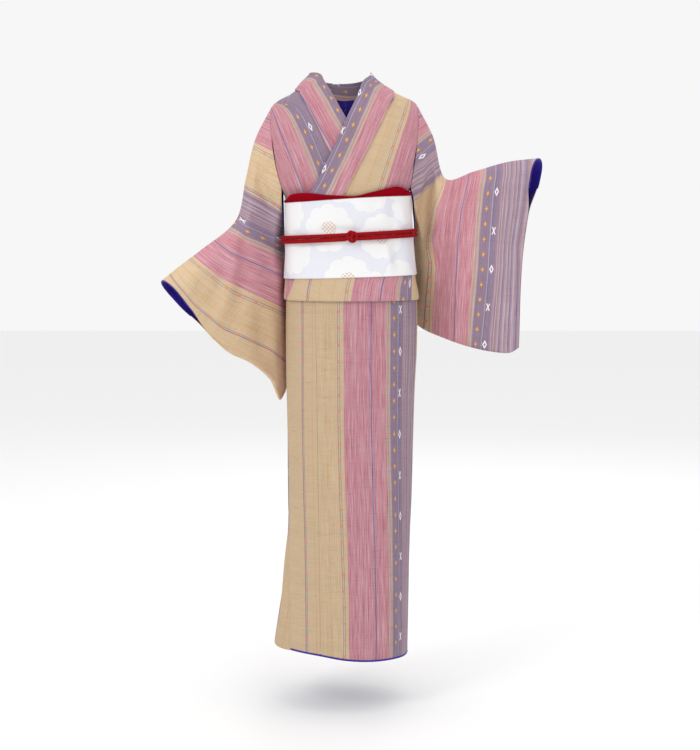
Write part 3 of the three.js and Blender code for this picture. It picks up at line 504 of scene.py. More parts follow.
def stripedCloth(name, front=False, least=None, level=1.0):
    look = Recipe(name, 0.85, sheen=0.03, specular=0.12)
    u, v = look.clothPlace()
    tones = {tone: shade(code) for tone, code in stripes["tones"].items()}
    repeat, start, end = stripes["repeat"], stripes["mauveStart"], stripes["mauveEnd"]
    bands, streaks, lastMauve = stripes["bands"], stripes["streaks"], end
    if front:
        lastMauve = stripes["beigeFrom"]
        bands = [b for b in bands if b[0] < lastMauve - 4] + [(lastMauve, "beige")] + [b for b in bands if b[0] > end]
        streaks = [s for s in streaks if s[0] < lastMauve - 4] + [(lastMauve, stripes["beigeStreak"])]
    bent = look.timesPlus(look.grain(u, v, 0.03, 0.006, detail=1.0, offset=3.0), 0.9, u)
    if least is not None:
        bent = look.most(bent, least)
    place = look.calc("FLOORED_MODULO", bent, repeat)
    share = look.over(place, repeat)
    base = look.ramp(share, [(at / repeat, tones[band]) for at, band in bands])
    amount = look.ramp(share, [(at / repeat, (k, k, k, 1.0)) for at, k in streaks])
    mauve = look.ramp(look.calc("DIVIDE", look.minus(place, start), end - start, clamp=True),
                      [((at - start) / (end - start), tones[band]) for at, band in stripes["mauveBands"]])
    between = look.times(look.calc("GREATER_THAN", place, start), look.calc("LESS_THAN", place, lastMauve))
    base = look.blend(between, base, mauve)
    broad = look.grain(u, v, stripes["warpScale"] * 0.42, 0.003, detail=1.0, offset=7.0)
    fine = look.grain(u, v, stripes["warpScale"], 0.017, detail=2.0, offset=1.0)
    streak = look.times(look.plus(look.times(broad, 0.7), look.times(fine, 1.5)), amount)
    colour = look.toned(base, look.timesPlus(streak, stripes["streakDark"], 1.0), look.timesPlus(streak, -0.38, 1.0))
    # small ikat marks, their edges shifted thread by thread
    shifted = look.timesPlus(look.grain(u, v, 2.2, 0.0, detail=0.0, offset=5.0), 1.1, v)

    def fromMark(centre, spacing, phase):
        step = look.calc("FLOORED_MODULO", look.plus(shifted, phase), spacing)
        return look.size(look.minus(place, centre)), look.size(look.minus(step, spacing / 2))

    def star(across, along, thin, tall, wide, low):
        upright = look.plus(look.over(across, thin), look.over(along, tall))
        lying = look.plus(look.over(across, wide), look.over(along, low))
        return look.below(look.calc("MINIMUM", upright, lying), 1.0, 0.35)

    marks = [(stripes["yellowAt"], -3.6, "yellow")] + [(at, 11.0, "orange") for at in stripes["orangeAt"]]
    for centre, phase, tone in marks:
        mark = star(*fromMark(centre, stripes["markSpacing"], phase), *stripes[tone + "Shape"])
        colour = look.blend(mark, colour, tones[tone])
    # white knots, a cross and a ring by turns
    spacing = stripes["knotSpacing"]
    across, along = fromMark(stripes["knotAt"], spacing * 2, stripes["knotStart"])
    cross = look.size(look.minus(across, look.times(along, 0.31)))
    cross = look.times(look.below(cross, 1.0, 0.9), look.below(along, 8.6, 1.0))
    colour = look.blend(cross, colour, tones["white"])
    across, along = fromMark(stripes["knotAt"], spacing * 2, stripes["knotStart"] + spacing)
    ring = look.size(look.minus(look.plus(look.over(across, 4.0), look.over(along, 10.8)), 0.72))
    colour = look.blend(look.below(ring, 0.28, 0.2), colour, tones["white"])
    # slubs of hand spun thread, both ways, and uneven dye
    weft = look.grain(u, v, 0.022, 0.55, detail=3.0, offset=11.0)
    warp = look.grain(u, v, 0.8, 0.02, detail=3.0, offset=13.0)
    uneven = [
        (look.most(look.timesPlus(weft, 1.6, -0.35), 0.0), -stripes["slubDark"]),
        (look.most(look.timesPlus(warp, 1.4, -0.7), 0.0), -0.12),
        (look.grain(u, v, 0.045, 0.42, detail=2.0, offset=23.0), 0.07),
        (look.grain(u, v, 0.022, 0.014, detail=3.0, offset=17.0), 0.035),
        (look.grain(u, v, 0.005, 0.06, detail=2.0, offset=29.0), stripes["weftBars"]),
        (look.grain(u, v, 0.7, 0.7, detail=2.0, offset=19.0), 0.07),
    ]
    # level scales the whole colour of a copy: painted light on the sleeves' copy, painted shade on the skirt's copies
    tone = level
    for spots, strength in uneven:
        tone = look.timesPlus(spots, strength, tone)
    warpGap, weftGap = stripes["threads"]
    weave = look.times(look.sine(u, 2 * math.pi / warpGap), look.sine(v, 2 * math.pi / weftGap))
    height = look.plus(look.times(weave, 0.5), look.times(look.plus(weft, warp), 0.6))
    return look.finished(look.toned(colour, tone), height, stripes["weaveBump"])


rightTipBand = -380.6
silkStripes = stripedCloth("kimono_silk_stripes")
frontStripes = stripedCloth("kimono_silk_front_stripes", front=True)
# the same cloth in lit and shaded copies: the sleeves' copy is painted lighter, the skirt's copies painted darker
sleeveStripesPaintedLighter = stripedCloth("kimono_silk_sleeve_stripes_painted_lighter", least=rightTipBand, level=1.12)
skirtStripesPaintedDarker = stripedCloth("kimono_silk_skirt_stripes_painted_darker", level=0.91)
skirtFrontStripesPaintedDarker = stripedCloth("kimono_silk_skirt_front_stripes_painted_darker", front=True, level=0.91)

liningLook = {"colour": "2b1290", "roughness": 0.55, "uneven": 0.12, "weave": 9.0, "bump": 0.00006}


def indigoSilk(name):
    look = Recipe(name, liningLook["roughness"], sheen=0.2)
    u, v = look.clothPlace()
    cloud = look.grain(u, v, 0.03, 0.03, detail=3.0)
    threads = look.grain(u, v, 2.4, 0.12, offset=2.0)
    tone = look.timesPlus(cloud, liningLook["uneven"] * 0.5, 1.0)
    colour = look.toned(shade(liningLook["colour"]), look.timesPlus(threads, liningLook["uneven"] * 0.4, tone))
    weave = look.times(look.sine(u, liningLook["weave"]), look.sine(v, liningLook["weave"]))
    return look.finished(colour, look.plus(weave, threads), liningLook["bump"])


liningSilk = indigoSilk("indigo_lining_silk")

# the belt: pale ground with round scalloped blossoms, some with a peach lattice heart
beltLook = {
    "ground": "dfe0e8",
    "petal": "ebebec",
    "edge": "d9dae2",
    "heart": "cf9f7c",
    "repeatU": 330.0,
    "repeatV": 214.0,
    "lobes": 9,
    "notch": 0.15,
    # centre across and up, radius, turn, and whether its heart is worked
    "blossoms": [
        (120, 108, 53, 0.2, True), (234, 86, 50, 0.9, True), (158, -3, 50, 1.6, True), (22, 142, 44, 0.5, False),
        (32, 56, 48, 2.2, False), (207, 182, 45, 1.1, False), (272, -6, 42, 0.1, False), (300, 150, 40, 0.7, False),
    ],
    "heartSize": (16.0, 15.0),
    "latticeStep": 8.2,
    "ribGap": 0.9,
    "bump": 0.00010,
}


def blossomCloth(name):
    look = Recipe(name, 0.46, sheen=0.15, specular=0.4)
    u, v = look.clothPlace()

    def fromCentre(place, centre, repeat):
        wrapped = look.calc("FLOORED_MODULO", look.plus(place, repeat / 2 - centre), repeat)
        return look.minus(wrapped, repeat / 2)

    def away(a, b):
        return look.calc("SQRT", look.plus(look.times(a, a), look.times(b, b)))

    inside, hearts, rims = 0.0, 0.0, 0.0
    for centreU, centreV, radius, turn, worked in beltLook["blossoms"]:
        across, up = fromCentre(u, centreU, beltLook["repeatU"]), fromCentre(v, centreV, beltLook["repeatV"])
        angle = look.plus(look.calc("ARCTAN2", up, across), turn)
        lobe = look.calc("POWER", look.size(look.sine(angle, beltLook["lobes"] / 2)), 0.6)
        reach = look.timesPlus(lobe, radius * beltLook["notch"], radius * 0.86)
        past = look.minus(away(across, up), reach)
        petal = look.below(past, 0.0, 1.2)
        rim = look.below(look.size(past), 0.5, 0.9)
        rims = look.most(look.times(rims, look.minus(1.0, petal)), rim)
        inside = look.most(inside, petal)
        if worked:
            wide, tall = beltLook["heartSize"]
            hearts = look.most(hearts, look.below(away(look.over(across, wide), look.over(up, tall)), 1.0, 0.08))
    colour = look.blend(inside, shade(beltLook["ground"]), shade(beltLook["petal"]))
    colour = look.blend(look.times(rims, 0.55), colour, shade(beltLook["edge"]))
    step = math.pi / beltLook["latticeStep"]
    slants = [look.size(look.sine(place, step)) for place in (look.plus(u, v), look.minus(u, v))]
    lattice = look.below(look.calc("MINIMUM", *slants), 0.26, 0.3)
    colour = look.blend(look.times(hearts, lattice), colour, shade(beltLook["heart"]))
    threads = look.grain(u, v, 0.10, 2.2)
    cloud = look.grain(u, v, 0.02, 0.02, offset=4.0)
    colour = look.toned(colour, look.timesPlus(cloud, 0.012, look.timesPlus(threads, 0.012, 1.0)))
    ribs = look.sine(v, 2 * math.pi / beltLook["ribGap"])
    height = look.plus(look.times(ribs, 0.35), look.times(inside, 1.6))
    return look.finished(colour, look.plus(height, look.times(threads, 0.4)), beltLook["bump"])


beltCloth = blossomCloth("belt_blossom_cloth")

scarfLook = {"colour": "980018", "paintedShade": "760010", "crepeSize": 1.6, "bump": 0.0003}


def crepeSilk(name):
    look = Recipe(name, 0.8, specular=0.05)
    u, v = look.clothPlace()
    crepe = look.grain(u, v, scarfLook["crepeSize"] * 0.5, scarfLook["crepeSize"], detail=4.0)
    relief = look.plus(crepe, look.grain(u, v, 0.03, 0.25, offset=6.0))
    # the crepe is painted darker where its relief and soft folds rise: painted shade
    share = look.timesPlus(relief, 0.3, 0.35, clamp=True)
    colour = look.blend(share, shade(scarfLook["colour"]), shade(scarfLook["paintedShade"]))
    return look.finished(colour, relief, scarfLook["bump"])


scarfCrepe = crepeSilk("scarf_crimson_crepe")

cordLook = {"colour": "a81019", "grooveShade": "5c040b", "strands": 8, "pitch": 15.0, "bump": 0.00035}


def braidSilk(name):
    # u runs round the cord from 0 to 1000, v along it in millimetres
    look = Recipe(name, 0.65, specular=0.08)
    u, v = look.clothPlace()
    turn = look.times(u, math.pi * cordLook["strands"] / 1000)
    climb = look.times(v, math.pi * cordLook["strands"] / cordLook["pitch"])
    braid = look.times(look.sine(look.plus(turn, climb), 1.0), look.sine(look.minus(turn, climb), 1.0))
    gloss = look.grain(u, v, 0.02, 0.9)
    # the grooves between the strands are painted darker: painted shade, varied a little by the gloss noise
    grooveShade = look.timesPlus(gloss, 0.10, look.timesPlus(braid, -0.35, 0.28, clamp=True), clamp=True)
    colour = look.blend(grooveShade, shade(cordLook["colour"]), shade(cordLook["grooveShade"]))
    return look.finished(colour, look.plus(braid, look.times(gloss, 0.3)), cordLook["bump"])


cordBraid = braidSilk("cord_red_braid")
print("finishes ready")

# panels of cloth laid on the form


def spread(count, edges=(1.0, 2.6), width=150.0):
    # shares across a panel with extra places close to both edges
    near = [0.0] + [e / width for e in edges]
    middle = np.linspace(near[-1], 1 - near[-1], count)[1:-1]
    return np.array(near + list(middle) + [1 - e for e in reversed(near)])


def clothAcross(points, stripeX, slant, bandAt):
    # the band of each point, by its distance across from a stripe whose x is known at each height
    x, z = points[..., 0], points[..., 2]
    arc = lengthAlong(points)
    u = np.empty_like(arc)
    for r in range(len(points)):
        sign = 1.0 if x[r, -1] > x[r, 0] else -1.0
        order = np.argsort(x[r])
        stripe = stripeX(z[r].mean())
        at = np.interp(stripe, x[r][order], arc[r][order])
        beyond = stripe - np.clip(stripe, x[r].min(), x[r].max())
        u[r] = bandAt + ((arc[r] - at) * sign - beyond) * math.cos(math.radians(slant))
    return u


def alongCloth(points, slant):
    lean = math.radians(slant)
    return points[..., 0] * math.sin(lean) - points[..., 2] * math.cos(lean)


def edgeDip(shares, width):
    # a panel's edge turns in to its seam
    near = np.minimum(shares, 1 - shares) * width
    return -0.7 * np.exp(-((near / 1.4) ** 2))


def layPanel(name, node, levels, fromEdge, toEdge, count, inside, wall, cloth, finishes, folds=(), width=150.0):
    shares = spread(count, width=width)
    angles, heights = [], []
    for level in levels:
        angle = mix(fromEdge(level), toEdge(level), shares)
        angles.append(angle)
        heights.append(level[1](angle) if isinstance(level, tuple) else np.full_like(angle, level))
    angle, z = np.array(angles), np.array(heights)
    lift = inside(angle, z)
    flat = onForm(angle, z, lift + wall(angle, z))
    fold = softFolds(flat, folds)
    dip = edgeDip(shares, width)[None, :]
    outer = onForm(angle, z, lift + wall(angle, z) + fold + dip)
    inner = onForm(angle, z, lift + fold - 0.2 * dip)
    piece = clothWall(name, outer, inner, np.stack(cloth(flat), -1), finishes)
    return wear(piece, node)


# the body from the shoulders to the fold under the belt

body = {
    "wall": 1.5,
    "foldWall": 2.6,
    "seamGap": 0.3,
    "foldLine": -447,
    "foldLift": 2.2,
    "overFront": 6.4,
    "overWaist": 4.0,
    "armholeTop": -26,
    "armholeBottom": -198,
    "sideClosed": -214,
    "underlap": 8,
    "neckBase": -6,
    "backMiddle": 179.99,
    "backBand": 262,
    # height, the right and the left armhole's x
    "armholes": [(-26, -159, 156), (-60, -161, 157), (-119, -156, 153), (-165, -148, 147), (-198, -139, 141)],
    # heights, and x of the edge at each
    "rightEdge": (
        [12, -2, -28, -64, -98, -132, -168, -205, -250, -447], [-98, -96, -84, -65, -48, -30, -8, 12, 30, 70]),
    "leftEdge": (
        [12, -2, -34, -71, -110, -146, -182, -218, -252, -300, -345, -400, -425, -447],
        [85, 101, 92, 74, 54, 36, 16, -3, -26, -60, -88, -102, -109, -119]),
    # heights, and x of the stripe that the bands are counted from
    "rightStripe": ([12, -38.6, -211.6, -260, -447], [-178, -157.8, -90.8, -90, -90]),
    "leftStripe": ([12, -17.9, -196.6, -330, -415, -447], [145, 134.8, 75.2, 30, 4.3, 0]),
    "rightSlant": 21,
    "leftSlant": -18.4,
    "rightBand": 59.8,
    "leftBand": 273.6,
    "rightLastBand": 132.6,
    "rightMoved": 63.6,
    # troughs and ridges: start, bend, end as x and z, half width, height
    "rightFolds": [
        (-150, -60, -128, -130, -92, -205, 13, 2.7), (-163, -95, -148, -150, -118, -208, 8, -2.2),
        (-120, -50, -100, -110, -66, -170, 15, -1.5), (-95, -20, -80, -60, -50, -120, 12, 1.2),
    ],
    "leftFolds": [
        (150, -70, 132, -135, 96, -208, 14, 3.0), (158, -110, 146, -160, 122, -205, 8, -2.3),
        (118, -55, 92, -125, 62, -190, 16, -1.6), (100, -60, 70, -130, 34, -200, 10, 1.4),
        (-40, -410, -20, -428, 30, -436, 16, 1.1), (90, -408, 110, -425, 140, -430, 10, -1.1),
    ],
    "backFolds": [
        (-140, -60, -110, -130, -60, -200, 16, 2.7), (140, -60, 112, -130, 60, -200, 16, 2.7),
        (-60, -40, -50, -110, -30, -190, 18, -1.6), (66, -44, 52, -120, 34, -200, 14, -1.9),
    ],
}
sideSign = {"right": -1, "left": 1}
armholeX = {"right": columnCurve(body["armholes"], 0, 1), "left": columnCurve(body["armholes"], 0, 2)}
neckAngle = curveThrough([12, 6, 0, -6], [98, 118, 140, 180])
bodyLevels = sorted(
    set([12, 9, 6, 3, 0, -3] + list(range(-6, -30, -4)) + list(range(-30, -200, -5)) + list(range(-198, -236, -4))
        + list(range(-236, -424, -6)) + [-424, -430, -435, -440, -443, -445, -446, -446.6, -447]), reverse=True)


def sideAngle(side, front, z):
    shift = math.degrees(body["seamGap"] / 2 / 150) * (-1 if front else 1)
    closedAt = sideSign[side] * (90 + shift)
    if z > body["armholeTop"] or z < body["sideClosed"]:
        return closedAt
    low = max(z, body["armholeBottom"])
    edge = float(angleAt(armholeX[side](low), low, front))
    if z >= body["armholeBottom"]:
        return edge
    return mix(edge, closedAt, float(rise(-body["armholeBottom"], -body["sideClosed"], -z)))


def overShare(angle, start, end):
    # 1 in front, falling to 0 between the two angles
    return 1 - rise(start, end, angle)


def foldShare(z):
    return 1 - rise(-400, -340, z)


def overLift(z):
    return mix(body["overWaist"], body["overFront"], rise(-236, -212, z))


def rightInside(angle, z):
    return foldShare(z) * (body["foldLift"] + 3.8 * overShare(-angle, 75, 88))


def leftInside(angle, z):
    onFold = body["foldLift"] + 8.2 * overShare(angle, 60, 89)
    return mix(overLift(z) * overShare(angle, 36, 60), onFold, foldShare(z))


def backInside(angle, z):
    return foldShare(z) * body["foldLift"]


def bodyWall(angle, z):
    return mix(body["wall"], body["foldWall"], foldShare(z)) - 1.9 * rounded(z - body["foldLine"], 5)


def addFront(side, inside, finish, lastBand, moved):
    edge, stripe = curveThrough(*body[side + "Edge"]), curveThrough(*body[side + "Stripe"])
    slant, shift = body[side + "Slant"], -sideSign[side] * body["underlap"]

    def cloth(points):
        u = clothAcross(points, stripe, slant, body[side + "Band"])
        return np.minimum(u, lastBand), alongCloth(points, slant) - moved

    return layPanel(
        side + "_front_cloth", side + "_front", bodyLevels,
        lambda z: sideAngle(side, True, z),
        lambda z: float(angleAt(edge(z) + (shift if z > body["sideClosed"] else 0), z)),
        52, inside, bodyWall, cloth, [finish, liningSilk], body[side + "Folds"])


def addBack(side):
    sign = sideSign[side]

    def cloth(points):
        arc = lengthAlong(points)
        fromMiddle = arc[:, -1:] - arc + np.abs(points[:, -1:, 0] - 10)
        return body["backBand"] + sign * fromMiddle, -points[..., 2]

    def toMiddle(z):
        return sign * (min(float(neckAngle(z)), body["backMiddle"]) if z > body["neckBase"] else body["backMiddle"])

    return layPanel(
        side + "_back_cloth", side + "_back", bodyLevels, lambda z: sideAngle(side, False, z), toMiddle,
        34, backInside, bodyWall, cloth, [silkStripes, liningSilk], body["backFolds"])


rightFrontCloth = addFront("right", rightInside, silkStripes, body["rightLastBand"], body["rightMoved"])
leftFrontCloth = addFront("left", leftInside, frontStripes, 1e4, 0.0)
rightBackCloth = addBack("right")
leftBackCloth = addBack("left")
print("body laid")

# the collar: one long band from the right front, round the neck and down the left front

collar = {
    "wall": 2.2,
    "lift": 3.0,
    "crown": 0.7,
    "ripple": 0.35,
    "width": 68,
    "steps": 190,
    # inner edge x, z and seam x, z, from the waist up
    "under": [
        (64, -173, 12, -205), (42, -133, -8, -168), (20, -90, -30, -132), (3, -59, -48, -98),
        (-14, -30, -65, -64), (-29, -3, -84, -28), (-44, 24, -96, -5), (-55, 41, -100, 2),
    ],
    # angle round the neck, height of the inner edge and of the seam
    "neck": [
        (-90, 45, 8), (-112, 43, 3), (-140, 36, -6), (-162, 32, -11), (-180, 31, -12),
        (-198, 32, -11), (-220, 36, -6), (-248, 43, 3), (-270, 46, 8),
    ],
    "over": [
        (42, 29, 104, -6), (30, 1, 92, -34), (12, -40, 74, -71), (-5, -78, 56, -107),
        (-23, -116, 36, -146), (-41, -153, 16, -182), (-59, -190, -3, -218), (-76, -226, -22, -252),
    ],
    "bandUnder": 120.0,
    "bandOver": 129.6,
    "bandScale": 0.92,
    "moved": 26.0,
}


def splineThrough(points, place):
    # a smooth line through points, the place running from 0 to 1
    points = np.asarray(points, float)
    last = len(points) - 1
    p = np.asarray(place) * last
    i = np.clip(np.floor(p).astype(int), 0, last - 1)
    before, after = points[np.where(i == 0, i, i - 1)], points[np.where(i > last - 2, last, i + 2)]
    start, end = points[i], points[i + 1]
    return cubic(start, end, (end - before) / 2, (after - start) / 2, (p - i)[:, None])


def addCollarBand():
    edge = [(angle, z) for angle, z, seamZ in collar["neck"]]
    seam = [(angle, seamZ) for angle, z, seamZ in collar["neck"]]
    under, over = ([
        [(float(angleAt(row[k], row[k + 1])) - turn, row[k + 1]) for row in collar[part]] for k in (0, 2)]
        for part, turn in (("under", 0), ("over", 360)))
    place = np.linspace(0, 1, collar["steps"])
    edge = splineThrough(under[0] + edge + over[0], place)
    seam = splineThrough(under[1] + seam + over[1], place)
    width = collar["width"]
    shares = spread(16, edges=(0.5, 1.2, 2.4), width=width)
    spot = edge[:, None, :] + (seam - edge)[:, None, :] * shares[None, :, None]
    angle, z = spot[..., 0], spot[..., 1]
    onLeft = (angle < -270).astype(float)
    middle = collar["lift"] + onLeft * overLift(z) * overShare(angle + 360, 36, 60) + collar["wall"] / 2
    # rounded at the fold, thinned at the seam
    folded = (1 - rounded(shares * width, 2.2)) * (1 - 0.45 * rounded((1 - shares) * width, 2.0))
    thickness = collar["wall"] * (0.45 + 0.55 * folded)[None, :]
    crown = (collar["crown"] + collar["ripple"] * np.sin(place * 41)[:, None]) * np.sin(math.pi * shares)[None, :]
    outer = onForm(angle, z, middle + thickness / 2 + crown)
    back = onForm(angle, z, middle - thickness / 2 + crown * 0.3)
    across = np.linalg.norm(outer - outer[:, :1], axis=-1)
    turned = rise(0.35, 0.55, place)[:, None]
    u = mix(collar["bandUnder"], collar["bandOver"], turned) - across * mix(1.0, collar["bandScale"], turned)
    v = np.broadcast_to(lengthAlong(outer[:, len(shares) // 2])[:, None], u.shape) - collar["moved"]
    piece = clothWall("collar_band", outer, back, np.stack([u, v], -1), [silkStripes, silkStripes])
    return wear(piece, "collar")


collarBand = addCollarBand()
print("collar laid")

# the skirt below the fold

skirt = {
    "top": -424,
    "hemLevel": -1225,
    "seamEnd": -1230,
    "overLift": 3.6,
    # x of each edge at the top, halfway and at the hem
    "okumiSeam": (-63, -58.5, -54),
    "overEdge": (-122, -124, -121),
    "underSeam": (66, 63, 60),
    "underEdge": (122, 117, 112),
    # how far the left front's stripes lean out by the hem, and the heights between
    "leanHeights": (-640, -1230),
    "clothMoved": 30.5,
    "frontFolds": [
        (-20, -455, -18, -700, -30, -1050, 26, -2.4), (30, -520, 34, -800, 26, -1170, 30, 2.2),
        (70, -455, 78, -640, 74, -900, 20, -2.2), (100, -640, 104, -900, 96, -1225, 22, 2.0),
        (8, -840, 10, -1010, 2, -1236, 18, -2.4), (52, -900, 56, -1080, 60, -1238, 15, 2.2),
        (126, -500, 132, -700, 128, -1000, 12, -2.1), (-45, -900, -44, -1060, -46, -1228, 12, 2.0),
    ],
    "okumiFolds": [
        (-84, -470, -86, -700, -84, -960, 16, 1.5), (-104, -700, -106, -900, -100, -1210, 12, -1.7),
        (-74, -980, -72, -1100, -76, -1220, 10, 1.4),
    ],
    "underFolds": [
        (-146, -900, -150, -1050, -153, -1222, 8, -2.4), (-134, -980, -138, -1100, -140, -1221, 7, 2.0),
        (30, -600, 20, -800, 30, -1200, 20, 1.8), (-90, -600, -96, -900, -100, -1210, 18, -1.8),
    ],
    "backFolds": [
        (-90, -470, -84, -740, -92, -1200, 24, 2.7), (-52, -560, -46, -840, -56, -1230, 20, -2.7),
        (-14, -470, -12, -700, -18, -1000, 18, 2.1), (36, -620, 32, -900, 30, -1238, 24, 2.7),
        (74, -470, 80, -760, 70, -1120, 20, -2.5), (112, -560, 114, -860, 106, -1238, 18, 2.4),
        (-118, -800, -124, -1000, -128, -1226, 14, -2.4),
    ],
}
hemOver = curveThrough([-130, -60, 0, 54, 110, 145], [-1215, -1222, -1232, -1236.5, -1238, -1240])
hemUnder = curveThrough([-165, -122, -90, -30, 100], [-1223, -1221, -1213, -1216, -1226])
hemBack = curveThrough([-165, -80, 0, 145], [-1223, -1230, -1236, -1240])
skirtShares = np.concatenate([np.linspace(0, 0.985, 118), [0.9915, 0.9955, 0.998, 0.9993, 1.0]])


def hemAt(hem, angle):
    return hem(formPoint(angle, skirt["hemLevel"])[..., 0])


def seamAngle(edge, share, shift):
    top, halfway, low = skirt[edge]
    x = mix(top, halfway, share * 2) if share < 0.5 else mix(halfway, low, share * 2 - 1)
    return float(angleAt(x + shift, mix(skirt["top"], skirt["seamEnd"], share)))


def overSkirtInside(angle, z):
    return skirt["overLift"] * overShare(angle, 62, 86) + 0 * z


def flatOnForm(angle, z):
    return np.zeros_like(angle)


def addSkirtPanel(side, part, hem, start, end, count, inside, stripe, bandAt, finish, folds, width, lean=0.0):
    # stripe is the x that the bands are counted from, or else bandAt has the first band and its rate
    def cloth(points):
        if stripe is None:
            return bandAt[0] + bandAt[1] * lengthAlong(points), -points[..., 2]
        u = clothAcross(points, lambda z: stripe + lean * rise(*skirt["leanHeights"], z), 0, bandAt)
        return u, -points[..., 2] - skirt["clothMoved"]

    def wall(angle, z):
        return body["wall"] * (1 - 0.5 * rounded(z - hemAt(hem, angle), 3))

    def level(share):
        return share, lambda angle: mix(skirt["top"], hemAt(hem, angle), share)

    name = side + "_" + part
    return layPanel(
        name + "_cloth", name if "skirt" in part else name + "_skirt", [level(share) for share in skirtShares],
        lambda at: start(at[0]), lambda at: end(at[0]), count, inside, wall, cloth, [finish, liningSilk], folds, width)


halfGap = body["seamGap"] / 2
sideGap = math.degrees(halfGap / 150)
backMiddle = 180 - math.degrees(halfGap / 110)
leftFrontSkirt = addSkirtPanel(
    "left", "front_skirt", hemOver, lambda s: seamAngle("okumiSeam", s, halfGap), lambda s: 90 - sideGap,
    58, overSkirtInside, -4.1, 285.0, skirtStripesPaintedDarker, skirt["frontFolds"], 280.0, lean=12.5)
leftOkumi = addSkirtPanel(
    "left", "okumi", hemOver, lambda s: seamAngle("overEdge", s, 0), lambda s: seamAngle("okumiSeam", s, -halfGap),
    20, overSkirtInside, -92.5, 194.0, skirtFrontStripesPaintedDarker, skirt["okumiFolds"], 80.0, lean=7.5)
rightFrontSkirt = addSkirtPanel(
    "right", "front_skirt", hemUnder, lambda s: -90 + sideGap, lambda s: seamAngle("underSeam", s, -halfGap),
    50, flatOnForm, None, (200.5, 0.64), skirtFrontStripesPaintedDarker, skirt["underFolds"], 280.0)
rightOkumi = addSkirtPanel(
    "right", "okumi", hemUnder, lambda s: seamAngle("underSeam", s, halfGap), lambda s: seamAngle("underEdge", s, 0),
    12, flatOnForm, None, (10.0, 1.0), skirtStripesPaintedDarker, (), 60.0)
rightBackSkirt = addSkirtPanel(
    "right", "back_skirt", hemBack, lambda s: -backMiddle, lambda s: -90 - sideGap,
    44, flatOnForm, None, (262.0, -1.0), skirtStripesPaintedDarker, skirt["backFolds"], 230.0)
leftBackSkirt = addSkirtPanel(
    "left", "back_skirt", hemBack, lambda s: 90 + sideGap, lambda s: backMiddle,
    44, flatOnForm, None, (490.0, -1.0), skirtStripesPaintedDarker, skirt["backFolds"], 230.0)

# rows of the hem's rolled lining: height over the hem, inner and outer lift, and how far it sinks
hemRows = [
    (2.0, 0.2, 1.1, -1.2), (-0.3, 0.0, 1.7, 0.0), (-1.2, -0.5, 2.2, 0.0), (-2.4, -0.3, 2.0, 0.0),
    (-3.2, 0.1, 1.5, 0.0), (-3.6, 0.6, 1.0, 0.0),
]


def addHemRoll():
    angle = np.linspace(seamAngle("overEdge", 1, 1), 84, 160)
    outer, inner = [], []
    for height, low, high, sunk in hemRows:
        z = hemAt(hemOver, angle) + height
        lift = overSkirtInside(angle, z)
        lift = lift + softFolds(onForm(angle, z, lift), skirt["frontFolds"]) + sunk
        outer.append(onForm(angle, z, lift + high))
        inner.append(onForm(angle, z, lift + low))
    cloth = np.meshgrid(np.linspace(0, 270, len(angle)), np.linspace(0, 6, len(hemRows)))
    piece = clothWall("hem_roll", np.array(outer), np.array(inner), np.stack(cloth, -1), [liningSilk])
    return wear(piece, "hem_lining")


hemRoll = addHemRoll()
print("skirt hung")

# the sleeves

